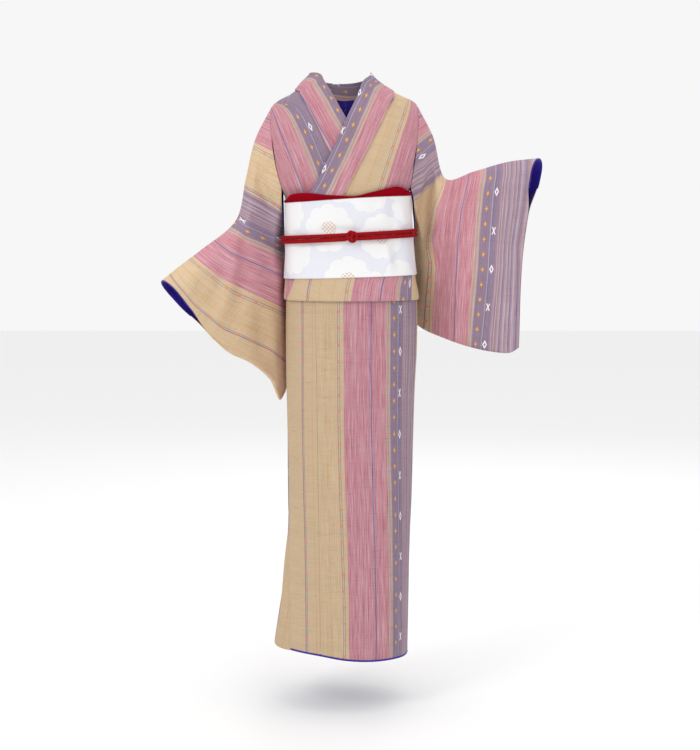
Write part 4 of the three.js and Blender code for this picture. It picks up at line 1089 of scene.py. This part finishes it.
sleeve = {
    "wall": 1.4,
    "bodyWall": 1.6,
    "armholeGap": 0.4,
    "steps": 12,
    # height, x, front and back of the edge that hangs open behind the body's side
    "hanging": {
        "right": [
            (-222, -139, -44, 54), (-250, -139, -22, 62), (-275, -139, 22, 70), (-300, -138.5, 48, 76),
            (-345, -138, 55, 80), (-420, -136, 58, 82), (-500, -133, 60, 82), (-600, -132, 63, 81),
            (-648, -132, 70.5, 75.5),
        ],
        "left": [
            (-222, 148, -42, 54), (-250, 151, -16, 64), (-280, 155, 36, 78), (-330, 155, 66, 94),
            (-400, 152, 78, 104), (-450, 153, 84, 106), (-485, 154, 88, 104), (-505, 154, 94.5, 99.5),
        ],
    },
    # top, middle and lowest point, half depth at each, turn of the face, share that stays open
    "sections": {
        "right": [
            ((-197, -2, -93), (-150, 35, -400), (-138, 60, -664), (50, 24, 11), 4, 1),
            ((-219, -5, -181), (-166, 28, -428), (-149, 50, -679), (44, 24, 11), 8, 1),
            ((-239, -10, -271), (-196, 10, -430), (-170, 36, -632), (40, 25, 11), 16, 1),
            ((-311, -48, -336), (-261, -29, -456), (-213, 0, -590), (37, 25, 9), 27, 1),
            ((-355, -72, -370), (-303, -53, -464), (-256, -28, -566), (36, 26, 7), 27, 1),
            ((-394, -92, -402), (-343, -75, -467), (-290, -56, -532), (33, 28, 2.4), 27, 0.96),
        ],
        "left": [
            ((192, -2, -89), (175, 48, -320), (176, 78, -520), (50, 24, 11), 4, 1),
            ((221, -8, -183), (209, 22, -368), (206, 46, -532), (44, 24, 11), 10, 1),
            ((283, -38, -167), (270, -18, -368), (267, 4, -552), (39, 23, 10), 25, 1),
            ((351, -68, -148), (335, -50, -366), (326, -32, -563), (36, 21, 8), 27, 1),
            ((392, -86, -143), (368, -70, -354), (362, -50, -563), (34, 16, 5), 27, 0.6),
            ((413, -95, -141), (384, -80, -345), (379, -60, -552), (31, 9, 2.4), 27, 0.3),
        ],
    },
    "closedHalf": 2.4,
    "frontFolds": {
        "right": [
            (-243, -262, -226, -400, -292, -512, 13, 5.1), (-226, -300, -205, -420, -262, -540, 16, -4.8),
            (-200, -260, -168, -330, -138, -352, 14, -3.5), (-262, -330, -250, -410, -318, -470, 12, -3.2),
            (-180, -120, -172, -190, -148, -232, 10, 3.8), (-196, -150, -186, -220, -146, -262, 9, -3.5),
            (-160, -380, -152, -480, -160, -600, 14, 3.5), (-196, -430, -184, -520, -190, -600, 14, -3.2),
            (-330, -370, -322, -420, -352, -450, 10, 2.6), (-176, -300, -160, -370, -140, -420, 10, 2.9),
            (-215, -200, -190, -230, -150, -262, 7, 2.6), (-228, -236, -196, -262, -150, -300, 8, -2.4),
        ],
        "left": [
            (176, -110, 170, -180, 156, -236, 10, 3.8), (196, -150, 186, -210, 160, -260, 9, -3.8),
            (206, -196, 196, -260, 190, -420, 12, 4.2), (222, -200, 214, -300, 212, -500, 15, -4.5),
            (252, -190, 246, -320, 250, -520, 18, 3.8), (296, -190, 290, -330, 284, -540, 20, -3.5),
            (336, -180, 330, -320, 336, -540, 18, 3.2), (366, -200, 360, -320, 364, -480, 12, -2.6),
            (186, -300, 176, -380, 172, -470, 10, 2.9), (180, -160, 168, -196, 152, -222, 6, 2.9),
            (192, -340, 206, -372, 196, -420, 9, 3.5), (238, -185, 300, -186, 392, -166, 11, -2.6),
        ],
    },
    "backFolds": {
        "right": [
            (-236, -290, -220, -420, -262, -540, 15, 4.8), (-200, -250, -180, -400, -176, -600, 16, -4.8),
            (-170, -220, -160, -400, -158, -620, 14, 4.2), (-290, -380, -276, -450, -282, -520, 14, -3.5),
            (-330, -400, -312, -450, -310, -500, 11, 3.2),
        ],
        "left": [
            (226, -200, 216, -340, 206, -500, 15, 4.8), (262, -210, 254, -360, 250, -530, 17, -4.5),
            (300, -200, 294, -360, 298, -540, 16, 3.8), (344, -190, 336, -340, 340, -530, 15, -3.5),
            (186, -230, 178, -340, 176, -480, 12, -3.2),
        ],
    },
    # shares of the way down the sleeve where its rings have points, before they are divided again
    "drops": [0, 0.008, 0.025, 0.055, 0.1, 0.16, 0.23, 0.31, 0.4, 0.5, 0.62, 0.74, 0.86, 0.94, 0.985, 1],
}
fineDrops = np.unique(np.concatenate([
    np.linspace(low, high, 5 if k < 4 or k > 12 else 7)
    for k, (low, high) in enumerate(zip(sleeve["drops"][:-1], sleeve["drops"][1:]))]))
ringPlaces = [(drop, True) for drop in fineDrops] + [(drop, False) for drop in fineDrops[1:-1][::-1]]


def bendThrough(points, place):
    # a line through knots that are unevenly far apart, for many lines at once: points are (knots, lines, 3)
    points = np.asarray(points, float)
    last = len(points) - 1
    i = min(int(math.floor(place * last)), last - 1)
    p1, p2 = points[i], points[i + 1]
    p0 = points[i - 1] if i > 0 else 2 * points[0] - points[1]
    p3 = points[i + 2] if i + 2 <= last else 2 * points[-1] - points[-2]
    gap0, gap1, gap2 = (
        np.sqrt(np.linalg.norm(b - a, axis=-1, keepdims=True)) for a, b in ((p0, p1), (p1, p2), (p2, p3)))
    gap1 = np.where(gap1 < 1e-4, 1.0, gap1)
    gap0, gap2 = (np.where(gap < 1e-4, gap1, gap) for gap in (gap0, gap2))
    leave = ((p1 - p0) / gap0 - (p2 - p0) / (gap0 + gap1) + (p2 - p1) / gap1) * gap1
    arrive = ((p2 - p1) / gap1 - (p3 - p1) / (gap1 + gap2) + (p3 - p2) / gap2) * gap1
    return cubic(p1, p2, leave, arrive, place * last - i)


def armholeSection(side, drop, front):
    # down the armhole seam, then down the edge that hangs open
    hanging = sleeve["hanging"][side]
    outward = sideSign[side] * sleeve["armholeGap"]
    bottom = body["armholeBottom"]
    z = mix(body["armholeTop"] - 2, hanging[-1][0], drop)
    if z >= bottom:
        x = float(armholeX[side](z))
        point = onForm(angleAt(x, z, front), z, sleeve["bodyWall"])
        point[0] = max(abs(point[0]), abs(x)) * sideSign[side] + outward
        if drop == 0:
            point[1] = 0
        return point
    x = float(armholeX[side](bottom))
    ahead, behind = (onForm(angleAt(x, bottom, face), bottom, sleeve["bodyWall"])[1] for face in (True, False))
    rows = [(bottom, x, ahead, behind)] + hanging
    y = float(columnCurve(rows, 0, 2 if front else 3)(z))
    if drop == 1:
        y = (hanging[-1][2] + hanging[-1][3]) / 2
    return np.array([float(columnCurve(rows, 0, 1)(z)) + outward, y, z])


def tableSection(section, side, drop, front):
    # an oval round the line through the section's three points
    top, middle, low, halves, turn, stays = section
    points = np.array([top, middle, low], float)[:, None, :]
    length = sum(
        np.linalg.norm(bendThrough(points, (k + 1) / 60) - bendThrough(points, k / 60)) for k in range(60))
    point = bendThrough(points, drop)[0]
    topShare, lowShare = halves[0] / length, halves[2] / length
    up = math.sqrt(1 - (1 - min(drop / topShare, 1)) ** 2)
    down = math.sqrt(max(1 - max((drop - 1 + lowShare) / lowShare, 0) ** 2, 0))
    half = mix(halves[0], halves[1], float(rise(topShare, 0.5, drop)))
    half = mix(half, halves[2], float(rise(0.5, 1 - lowShare, drop)))
    if stays < 1:
        half = mix(half, min(half, sleeve["closedHalf"]), float(rise(stays * 0.45, stays, drop)))
    lean = math.radians(turn) * sideSign[side]
    depth = half * up * down * (1 if front else -1)
    return np.array([point[0] - math.sin(lean) * depth, point[1] - math.cos(lean) * depth, point[2]])


def sleeveRings(side):
    sections = sleeve["sections"][side]
    knots = [[armholeSection(side, drop, front) for drop, front in ringPlaces]]
    knots += [[tableSection(section, side, drop, front) for drop, front in ringPlaces] for section in sections]
    steps = len(sections) * sleeve["steps"]
    return np.array([bendThrough(knots, k / steps) for k in range(steps + 1)])


def ringNormals(rings, side):
    before = np.concatenate([rings[:1], rings[:-1]])
    after = np.concatenate([rings[1:], rings[-1:]])
    turn = unit(np.roll(rings, -1, axis=1) - rings) - unit(np.roll(rings, 1, axis=1) - rings)
    return unit(np.cross(turn, after - before)) * sideSign[side]


# where the stripes lie on the right sleeve: a band and its line as (x, z), from the tip up
rightSleeveLines = [
    (-378.0, [(-420, -345), (-378.9, -390.9), (-350.7, -424.5), (-326.5, -456.4), (-297.5, -484), (-266.8, -512),
              (-230.5, -529.9), (-198.6, -546.8), (-166.7, -564.4), (-139.8, -588.1), (-100, -620)]),
    (-294.0, [(-400, -310), (-320, -368.5), (-291, -392.6), (-248.3, -427.8), (-182.9, -459.1), (-151.1, -473.9),
              (-100, -500)]),
    (-285.0, [(-400, -298), (-330.8, -351), (-264, -403), (-136.3, -470.4), (-100, -489)]),
    (-225.0, [(-400, -238), (-284.4, -319.3), (-250.8, -342.8), (-203.8, -366.3), (-136.5, -399), (-100, -416)]),
    (-173.0, [(-330, -236), (-238.6, -282.4), (-216.8, -296.8), (-184.9, -310.9), (-151.3, -327.7), (-110, -348)]),
    (-93.0, [(-290, -168), (-216, -205.5), (-189.5, -220.5), (-157.7, -240.6), (-120, -264)]),
    (0.0, [(-260, -70), (-198.5, -103.5), (-157, -125.4), (-120, -145)]),
    (60.0, [(-200, -38), (-175, -51.9), (-161, -59.5), (-130, -76)]),
]
# on the left sleeve: a band and its line as (depth, x), from the body out
leftSleeveLines = [
    (-9.0, [(100, 214), (193.9, 212.8), (238.8, 197.4), (297.6, 187.9), (325.4, 185.6), (367.1, 194.6),
            (436.8, 189.7), (503.3, 189), (560, 188)]),
    (0.0, [(100, 222), (187, 219.7), (249, 201), (315, 194.3), (377.5, 201.6), (454.3, 195), (510, 194.3), (560, 194)]),
    (60.0, [(120, 272), (173.6, 267.4), (256, 252.4), (314.8, 247.6), (401.5, 244.7), (530.6, 242.1), (560, 242)]),
    (95.0, [(120, 300), (168.7, 295.9), (221.8, 287.7), (297.5, 281.4), (349.2, 280), (435.9, 275.5), (540.4, 271.1)]),
    (112.2, [(130, 318), (160.5, 314.6), (216.9, 306.5), (283.7, 301.9), (376.6, 298.5), (445.8, 294.6),
             (543.1, 287.7)]),
    (127.6, [(130, 333), (215, 325.4), (297.4, 321.3), (378.3, 318.6), (466.6, 312.4), (550, 306.9)]),
    (185.6, [(130, 396), (161, 392.4), (249.5, 388.2), (324.6, 378.8), (434.5, 379.9), (548.4, 377.7)]),
]
# the left upper arm's bands rise to the right, square to the arm
leftArm = {
    "elbow": (147.3, -228.3),
    "run": (73.0, 59.0),
    "reach": 221,
    "band": -97.0,
    "cornerBands": 88.0,
    "lastBand": 187.4,
    "scale": 1.09,
    "moved": (69.7, 300),
}


def levelsOf(lines, place):
    return np.array([np.interp(place, [p[0] for p in line], [p[1] for p in line]) for band, line in lines])


def bandsBetween(place, levels, lines, under, past):
    # the band of each place among rising levels, carried on past both ends at the two rates
    bands = [band for band, line in lines]
    found = [
        np.interp(at, column, bands) + min(at - column[0], 0) * under + max(at - column[-1], 0) * past
        for at, column in zip(place.reshape(-1), levels.reshape(len(bands), -1).T)]
    return np.array(found).reshape(place.shape)


def rightSleeveCloth(points):
    x, z = points[..., 0], points[..., 2]
    u = bandsBetween(z, levelsOf(rightSleeveLines, x), rightSleeveLines, 0.8, 0.9)
    return u, x * 0.866 - z * 0.5 + 130


def leftSleeveCloth(points):
    x, z = points[..., 0], points[..., 2]
    levels = levelsOf(leftSleeveLines, -z)
    hanging = np.minimum(bandsBetween(x, levels, leftSleeveLines, 0.95, 0.15), leftArm["lastBand"])
    along = np.array(leftArm["run"]) / math.hypot(*leftArm["run"])
    elbowX, elbowZ = leftArm["elbow"]
    above = (x - elbowX) * -along[1] + (z - elbowZ) * along[0]
    below, beside = np.maximum(-above, 0), np.maximum(levels[0] - x, 0)
    share = below / np.maximum(below + beside, 1e-6)
    onArm, onHanging = (above > 0) & (x <= leftArm["reach"]), x >= levels[0]
    between = leftArm["band"] + leftArm["cornerBands"] * share
    u = np.where(onArm, leftArm["band"] - above, np.where(onHanging, hanging, between))
    turned = np.where(onArm, 1.0, np.where(onHanging, 0.0, 1 - rise(0.35, 0.75, share)))
    v = mix(-z * leftArm["scale"] - leftArm["moved"][0], x * along[0] + z * along[1] + leftArm["moved"][1], turned)
    return u, v


def addSleeve(side, cloth):
    rings = sleeveRings(side)
    normals = ringNormals(rings, side)
    drops, facing = np.array([drop for drop, front in ringPlaces]), np.array([front for drop, front in ringPlaces])
    lift = np.where(facing, softFolds(rings, sleeve["frontFolds"][side]), softFolds(rings, sleeve["backFolds"][side]))
    # folds fade at the armhole, the cuff and along the top
    run = np.linspace(0, 1, len(rings))[:, None]
    fade = rise(0.0, 0.08, run) * (0.35 + 0.65 * rise(1.0, 0.93, run)) * rise(0.0, 0.07, drops) * rise(1.0, 0.95, drops)
    shaped = rings + normals * (lift * fade)[..., None]
    place = [np.concatenate([part, part[:, :1]], axis=1) for part in cloth(rings)]
    piece = clothWall(
        side + "_sleeve_cloth", shaped, shaped - normals * sleeve["wall"], np.stack(place, -1),
        [sleeveStripesPaintedLighter, liningSilk], around=True)
    return wear(piece, side + "_sleeve"), shaped, normals


rightSleeve, rightShape, rightNormals = addSleeve("right", rightSleeveCloth)
leftSleeve, leftShape, leftNormals = addSleeve("left", leftSleeveCloth)
print("sleeves hung")

cuff = {
    "depth": 22,
    "gap": 1.55,
    "thick": 0.9,
    "openDrop": {"right": 0.63, "left": 0.17},
    # past the cuff's edge: reach, outer and inner depth from the cloth's face
    "roll": [(0.4, 1.5, 2.4), (0.55, 0.4, 2.4), (1.4, 0.1, 2.3), (2.3, 0.4, 2.0), (2.8, 1.0, 1.6)],
    "rowStep": 5.0,
}


def addCuffLining(side, shape, normals):
    last = len(shape) - 1
    count = int(np.sum(fineDrops <= cuff["openDrop"][side] + 1e-9)) - 1
    columns = np.arange(-count, count + 1) % shape.shape[1]
    edge, facing = shape[last, columns], normals[last, columns]
    ahead = unit(edge - shape[last - 1, columns])
    # places on the cloth's face with the way in, outer and inner depth
    rows = [(shape[r, columns], normals[r, columns], cuff["gap"], cuff["gap"] + cuff["thick"])
            for r in range(last - cuff["depth"], last + 1)]
    rows += [(edge + ahead * reach, facing, high, low) for reach, high, low in cuff["roll"]]
    outer = np.array([spot - way * high for spot, way, high, low in rows])
    inner = np.array([spot - way * low for spot, way, high, low in rows])
    cloth = np.meshgrid(lengthAlong(outer[-6]), np.arange(len(outer)) * cuff["rowStep"])
    piece = clothWall(side + "_cuff_lining_silk", outer, inner, np.stack(cloth, -1), [liningSilk])
    return wear(piece, side + "_cuff_lining")


rightCuffLining = addCuffLining("right", rightShape, rightNormals)
leftCuffLining = addCuffLining("left", leftShape, leftNormals)
print("cuffs lined")

# the belt wound round the waist, its scarf, drum knot and cord

belt = {
    "wall": 3.2,
    "outside": 3.4,
    "steps": 300,
    "rows": 46,
    # height at the middle and slope
    "middleX": 10,
    "topEdge": (-225, 0.062),
    "bottomEdge": (-397, 0.03),
    "cordLine": (-304.5, 0.055),
    "ringLevel": -310,
    # lift over the form: above the fold, on the fold, in front
    "lifts": (2.8, 5.6, 13.0),
    "rounding": 1.5,
    "blossomStart": 165.0,
    # start, bend and end as x and z, half width, height
    "dents": [
        (96, -232, 100, -262, 112, -288, 12, -4.3), (60, -228, 66, -250, 60, -276, 10, -2.7),
        (104, -316, 110, -345, 120, -392, 12, -5.3), (84, -322, 92, -350, 96, -388, 9, 2.9),
        (-100, -300, -96, -340, -104, -392, 14, -2.4), (-60, -296, -20, -292, 30, -296, 7, -3.4),
        (20, -318, 60, -314, 110, -312, 7, -3.2), (-110, -322, -70, -320, -20, -322, 7, -2.9),
        (118, -240, 124, -264, 128, -290, 7, 2.4),
    ],
}


def beltLine(line, x):
    level, slope = belt[line]
    return level + slope * (x - belt["middleX"])


def beltInside(angle, z):
    above, onFold, ahead = belt["lifts"]
    return mix(mix(above, onFold, foldShare(z)), ahead, overShare(np.abs(angle), 56, 89))


def beltOutside(angle, z):
    return beltInside(angle, z) + belt["outside"]


def addBeltWrap():
    angle = -180 + 360 * np.arange(belt["steps"]) / belt["steps"]
    x = formPoint(angle, belt["ringLevel"])[..., 0]
    top, bottom = beltLine("topEdge", x), beltLine("bottomEdge", x)
    shares = np.concatenate([[0, 0.003, 0.008, 0.016], np.linspace(0.03, 0.97, belt["rows"]), [0.984, 0.992, 0.997, 1]])
    outer, inner, heights = [], [], []
    for share in shares:
        z = mix(top, bottom, share)
        near = min(share, 1 - share) * 172
        rounding = belt["rounding"] * rounded(near, 1.7)
        face = beltOutside(angle, z)
        flat = onForm(angle, z, face)
        dent = softFolds(flat, belt["dents"]) * (flat[..., 1] < 0) * min(near / 12, 1)
        outer.append(onForm(angle, z, face - rounding + dent))
        inner.append(onForm(angle, z, face - belt["wall"] + rounding * 0.8 + dent))
        heights.append(closed(z - bottom))
    outer = np.array(outer)
    ring = outer[len(shares) // 2]
    arc = lengthAlong(closed(ring))
    start = arc[np.argmin(np.abs(x - belt["middleX"]) + (ring[:, 1] > 0) * 1e3)]
    u = np.broadcast_to(arc - start + belt["blossomStart"], (len(shares), len(arc)))
    piece = clothWall(
        "belt_wound", outer, np.array(inner), np.stack([u, np.array(heights)], -1), [beltCloth], around=True)
    return wear(piece, "belt_wrap")


beltWound = addBeltWrap()

scarf = {
    "steps": 300,
    "level": -225,
    "gap": 0.4,
    "behind": 4.0,
    # x, and height over the belt in front
    "heights": (
        [-134, -118, -104, -80, -40, 0, 27, 60, 92, 108, 128, 146], [5, 9, 18, 19, 11, 5.5, 4.5, 12, 20.5, 20, 10, 5]),
    # share of the height and lift: up the front of the fold and down its back
    "profile": [
        (0.0, 2.8), (0.12, 3.1), (0.28, 3.5), (0.42, 3.6), (0.55, 3.5), (0.68, 3.25), (0.8, 2.9), (0.9, 2.4),
        (0.97, 1.7), (1.0, 1.0), (0.98, 0.4), (0.9, 0.0), (0.5, 0.0), (0.0, 0.0),
    ],
    # share of the height and lift of each crease
    "creases": [(0.35, 1.3), (0.62, 1.1), (0.8, -0.9)],
    "rowStep": 3.0,
}


def ringFaces(rows, columns, across, along, endless):
    # faces of a tube with the place on the cloth of each column and row
    faces, uvs = [], []
    for r in range(rows if endless else rows - 1):
        for c in range(columns):
            corners = ((r, c), (r, c + 1), (r + 1, c + 1), (r + 1, c))
            faces.append([row % rows * columns + column % columns for row, column in corners])
            uvs += [(across[column], along[row]) for row, column in corners]
    return faces, uvs


def addScarf():
    angle = -180 + 360 * np.arange(scarf["steps"]) / scarf["steps"]
    bottom = beltLine("topEdge", formPoint(angle, belt["ringLevel"])[..., 0]) + scarf["gap"]
    ahead = curveThrough(*scarf["heights"])(formPoint(angle, scarf["level"])[..., 0])
    height = np.where(np.abs(angle) < 90, ahead, scarf["behind"])
    inside = beltInside(angle, bottom)
    rows = []
    for share, out in scarf["profile"]:
        fullness = 1 + 0.12 * (height - 4) / 8 * np.sin(np.pi * share)
        creases = sum(
            size * np.exp(-(((share - at - 0.10 * np.sin(angle * 0.045 + size * 3)) / 0.075) ** 2))
            for at, size in scarf["creases"])
        lift = inside + out * fullness + np.where(height > 6, creases, 0.3 * creases) * (out > 1.5)
        rows.append(onForm(angle, bottom + height * share, lift))
    rowPlaces = np.arange(len(rows) + 1) * scarf["rowStep"]
    faces, uvs = ringFaces(len(rows), len(angle), lengthAlong(closed(rows[0])), rowPlaces, True)
    piece = makePiece("scarf_fold", rows, faces, uvs, [scarfCrepe])
    work = bmesh.new()
    work.from_mesh(piece.data)
    bmesh.ops.recalc_face_normals(work, faces=work.faces)
    work.to_mesh(piece.data)
    work.free()
    return wear(piece, "scarf")


scarfFold = addScarf()
print("belt and scarf wound")


def onBeltBack(z, gap):
    # the belt's back face, and half of the wall that lies on it
    return float(formPoint(180, z)[1] + beltOutside(180, z)) + 0.8 + belt["wall"] / 2 + gap


beltKnot = {
    "clothSide": 160,
    # each path is y and z of the middle of the wall, from its upper end
    "belt_drum_knot": {
        "node": "belt_drum", "wall": 3.0, "sides": (-139, 151), "steps": 150, "sag": 1.6, "clothStart": 40,
        "path": [
            (onBeltBack(-262, 0.9), -262), (onBeltBack(-235, 4), -222), (122, -196), (142, -184), (163, -190),
            (177, -214), (183, -260), (184, -320), (181, -380), (173, -430), (160, -455), (144, -463),
            (128, -455), (122.5, -436), (122, -395), (122, -352),
        ],
    },
    "belt_end_flap": {
        "node": "belt_flap", "wall": 3.0, "sides": (-139, 151), "steps": 50, "sag": 0.0, "clothStart": 0,
        "path": [
            (onBeltBack(-345, 0), -345), (onBeltBack(-390, 0), -390), (116.2, -425), (117.4, -470),
            (119.5, -510), (121, -548),
        ],
    },
    "belt_inner_band": {
        "node": "belt_band", "wall": 4.2, "sides": (-90, 102), "steps": 30, "sag": 0.0, "clothStart": 90,
        "path": [(126.6, -292), (126.6, -359), (126.6, -426)],
    },
}


def addAcross(name):
    part = beltKnot[name]
    left, right = part["sides"]
    steps = part["steps"]
    points = np.array([[(0, y, z)] for y, z in part["path"]], float)
    line = np.array([bendThrough(points, k / steps)[0] for k in range(steps + 1)])
    tangent = unit(np.gradient(line, axis=0))
    normal = np.stack([np.zeros(len(line)), -tangent[:, 2], tangent[:, 1]], -1)[:, None, :]
    shares = spread(36, edges=(0.6, 1.6), width=right - left)
    along = lengthAlong(line)
    # thinner at all four edges, and sagging unevenly between them
    thinSide = 1 - 0.5 * rounded(np.minimum(shares, 1 - shares) * (right - left), 1.5)
    thinEnd = 1 - 0.5 * rounded(np.minimum(along, along[-1] - along), 1.5)
    uneven = np.sin(shares * 7.1 + 0.4) * 0.4 - (2 * shares - 1) ** 4
    sag = np.abs(np.sin(np.linspace(0, math.pi, steps + 1))[:, None] * part["sag"] * uneven)
    middle = line[:, None, :] - normal * sag[..., None]
    middle[..., 0] = mix(left, right, shares)
    half = (part["wall"] / 2) * (thinEnd[:, None] * thinSide)[..., None] * normal
    v, u = np.meshgrid(mix(left, right, shares) + beltKnot["clothSide"], along + part["clothStart"])
    piece = clothWall(name, middle - half, middle + half, np.stack([u, v], -1), [beltCloth])
    return wear(piece, part["node"])


beltDrum, beltFlap, beltBand = (addAcross(name) for name in ("belt_drum_knot", "belt_end_flap", "belt_inner_band"))
print("drum knot tied")

cord = {
    "radius": 4.5,
    "sides": 20,
    "step": 1.5,
    "gap": 1.1,
    "strandDrop": 9.2,
    "backY": 134.0,
    "backZ": -320,
    "braidDepth": 0.22,
    "roundedEnd": 2.5,
    # where the second strands start and end, as angles
    "rightStrand": (-2.9, -80),
    "leftStrand": (7.9, 80),
}


def cordOnBelt(angle, drop):
    level = belt["ringLevel"]
    z = beltLine("cordLine", formPoint(angle, level)[..., 0]) - drop
    return onForm(angle, z, beltOutside(angle, level) + cord["radius"] + cord["gap"])


def smoothLine(points, endless):
    # close points on a line through the given ones
    points = np.asarray(points, float)
    count = len(points)
    t = np.linspace(0, 1, 12, endpoint=False)[:, None]
    parts = []
    for k in range(count if endless else count - 1):
        p1, p2 = points[k], points[(k + 1) % count]
        p0 = points[k - 1] if k > 0 or endless else 2 * p1 - p2
        p3 = points[(k + 2) % count] if k + 2 < count or endless else 2 * p2 - p1
        parts.append(cubic(p1, p2, (p2 - p0) / 2, (p3 - p1) / 2, t))
    return np.concatenate(parts + [points[:1] if endless else points[-1:]])


def layCord(name, points, radius, endless=False, step=cord["step"]):
    # a tube along points with the braid's crossings raised
    dense = smoothLine(points, endless)
    arc = lengthAlong(dense)
    count = max(int(arc[-1] / step), 8)
    places = np.linspace(0, arc[-1], count, endpoint=not endless)
    line = np.stack([np.interp(places, arc, dense[:, k]) for k in range(3)], -1)
    if endless:
        tangent = unit(np.roll(line, -1, axis=0) - np.roll(line, 1, axis=0))
        side = unit(np.cross(np.array([0, 0, 1.0]), tangent) + 1e-6)
    else:
        # carried along without twisting
        tangent = unit(np.gradient(line, axis=0))
        side = np.empty_like(line)
        side[0] = unit(np.cross(tangent[0], np.array([0.13, -0.9, 0.3])))
        for k in range(1, count):
            side[k] = unit(side[k - 1] - tangent[k] * np.dot(side[k - 1], tangent[k]))
    up = np.cross(tangent, side)
    sides, strands = cord["sides"], cordLook["strands"]
    angle = 2 * math.pi * np.arange(sides) / sides
    climb = strands * math.pi * places[:, None] / cordLook["pitch"]
    braid = np.sin(strands / 2 * angle + climb) * np.sin(strands / 2 * angle - climb)
    size = radius + cord["braidDepth"] * (braid - 1)
    if not endless:
        ends = np.minimum(places, arc[-1] - places)[:, None]
        size = size * np.sqrt(np.clip(1 - rounded(ends, cord["roundedEnd"]), 0.05, 1))
    ring = line[:, None, :] + side[:, None, :] * (size * np.cos(angle))[..., None]
    ring = ring + up[:, None, :] * (size * np.sin(angle))[..., None]
    across = np.arange(sides + 1) * 1000 / sides
    faces, uvs = ringFaces(count, sides, across, list(places) + [arc[-1]], endless)
    if not endless:
        faces += [list(range(sides))[::-1], [(count - 1) * sides + c for c in range(sides)]]
        uvs += [(u, 0) for u in across[:-1]][::-1] + [(u, arc[-1]) for u in across[:-1]]
    return makePiece(name, ring, faces, uvs, [cordBraid])


def addCordLoop():
    front = [cordOnBelt(float(angle), 0) for angle in range(-112, 113, 8)]
    y, z = cord["backY"], cord["backZ"]
    back = [(138, 113, z + 6)] + [(x, y, z) for x in (112, 60, 6, -50, -100)] + [(-122, 113, z + 4)]
    return wear(layCord("cord_round_belt", front + back, cord["radius"], endless=True), "cord")


def addStrand(side):
    start, end = cord[side + "Strand"]
    points = [cordOnBelt(mix(start, end, k / 12), cord["strandDrop"]) for k in range(13)]
    return wear(layCord("cord_second_strand_" + side, points, cord["radius"]), "cord_tail_" + side)


addCordLoop()
addStrand("right")
addStrand("left")

knot = {
    "x": 15.0,
    "angle": 2.5,
    "lift": 2.6,
    "radius": 3.9,
    # across, forward and up from the knot's middle
    "wrap": [
        (-15, 1, -4.5), (-9, -1, -4.0), (-3.5, -5.5, -1), (0.5, -7.5, 4.5), (-1.5, -5.5, 9.6), (-6.5, -2.5, 8.6),
        (-8.4, -2.5, 2), (-6.5, -4.5, -5.6), (-1, -6, -9.4), (4.5, -3, -8.0), (6.5, 0.5, -3.0),
    ],
    "cross": [
        (-13, 1, 4.2), (-6, -0.5, 4.6), (0.5, -4.0, 8.0), (6.4, -6.4, 7.0), (8.8, -6.0, 0.2), (6.4, -4.4, -5.8),
        (3.0, -3.0, -4.0), (6.0, -1.8, 1.5), (11, 0.5, 3.6), (16, 1.0, 4.2),
    ],
}


def addKnot():
    lift = beltOutside(knot["angle"], belt["ringLevel"]) + cord["radius"] + knot["lift"]
    centre = onForm(knot["angle"], beltLine("cordLine", knot["x"]) - cord["strandDrop"] / 2, lift)
    pieces = []
    for part in ("wrap", "cross"):
        points = [(knot["x"] + x, centre[1] + y, centre[2] + z) for x, y, z in knot[part]]
        pieces.append(layCord("cord_knot_" + part, points, knot["radius"], step=1.0))
    for other in bpy.context.view_layer.objects:
        other.select_set(other in pieces)
    bpy.context.view_layer.objects.active = pieces[0]
    bpy.ops.object.join()
    pieces[0].name = "cord_square_knot"
    pieces[0].select_set(False)
    return wear(pieces[0], "cord_knot")


addKnot()
print("cord tied")
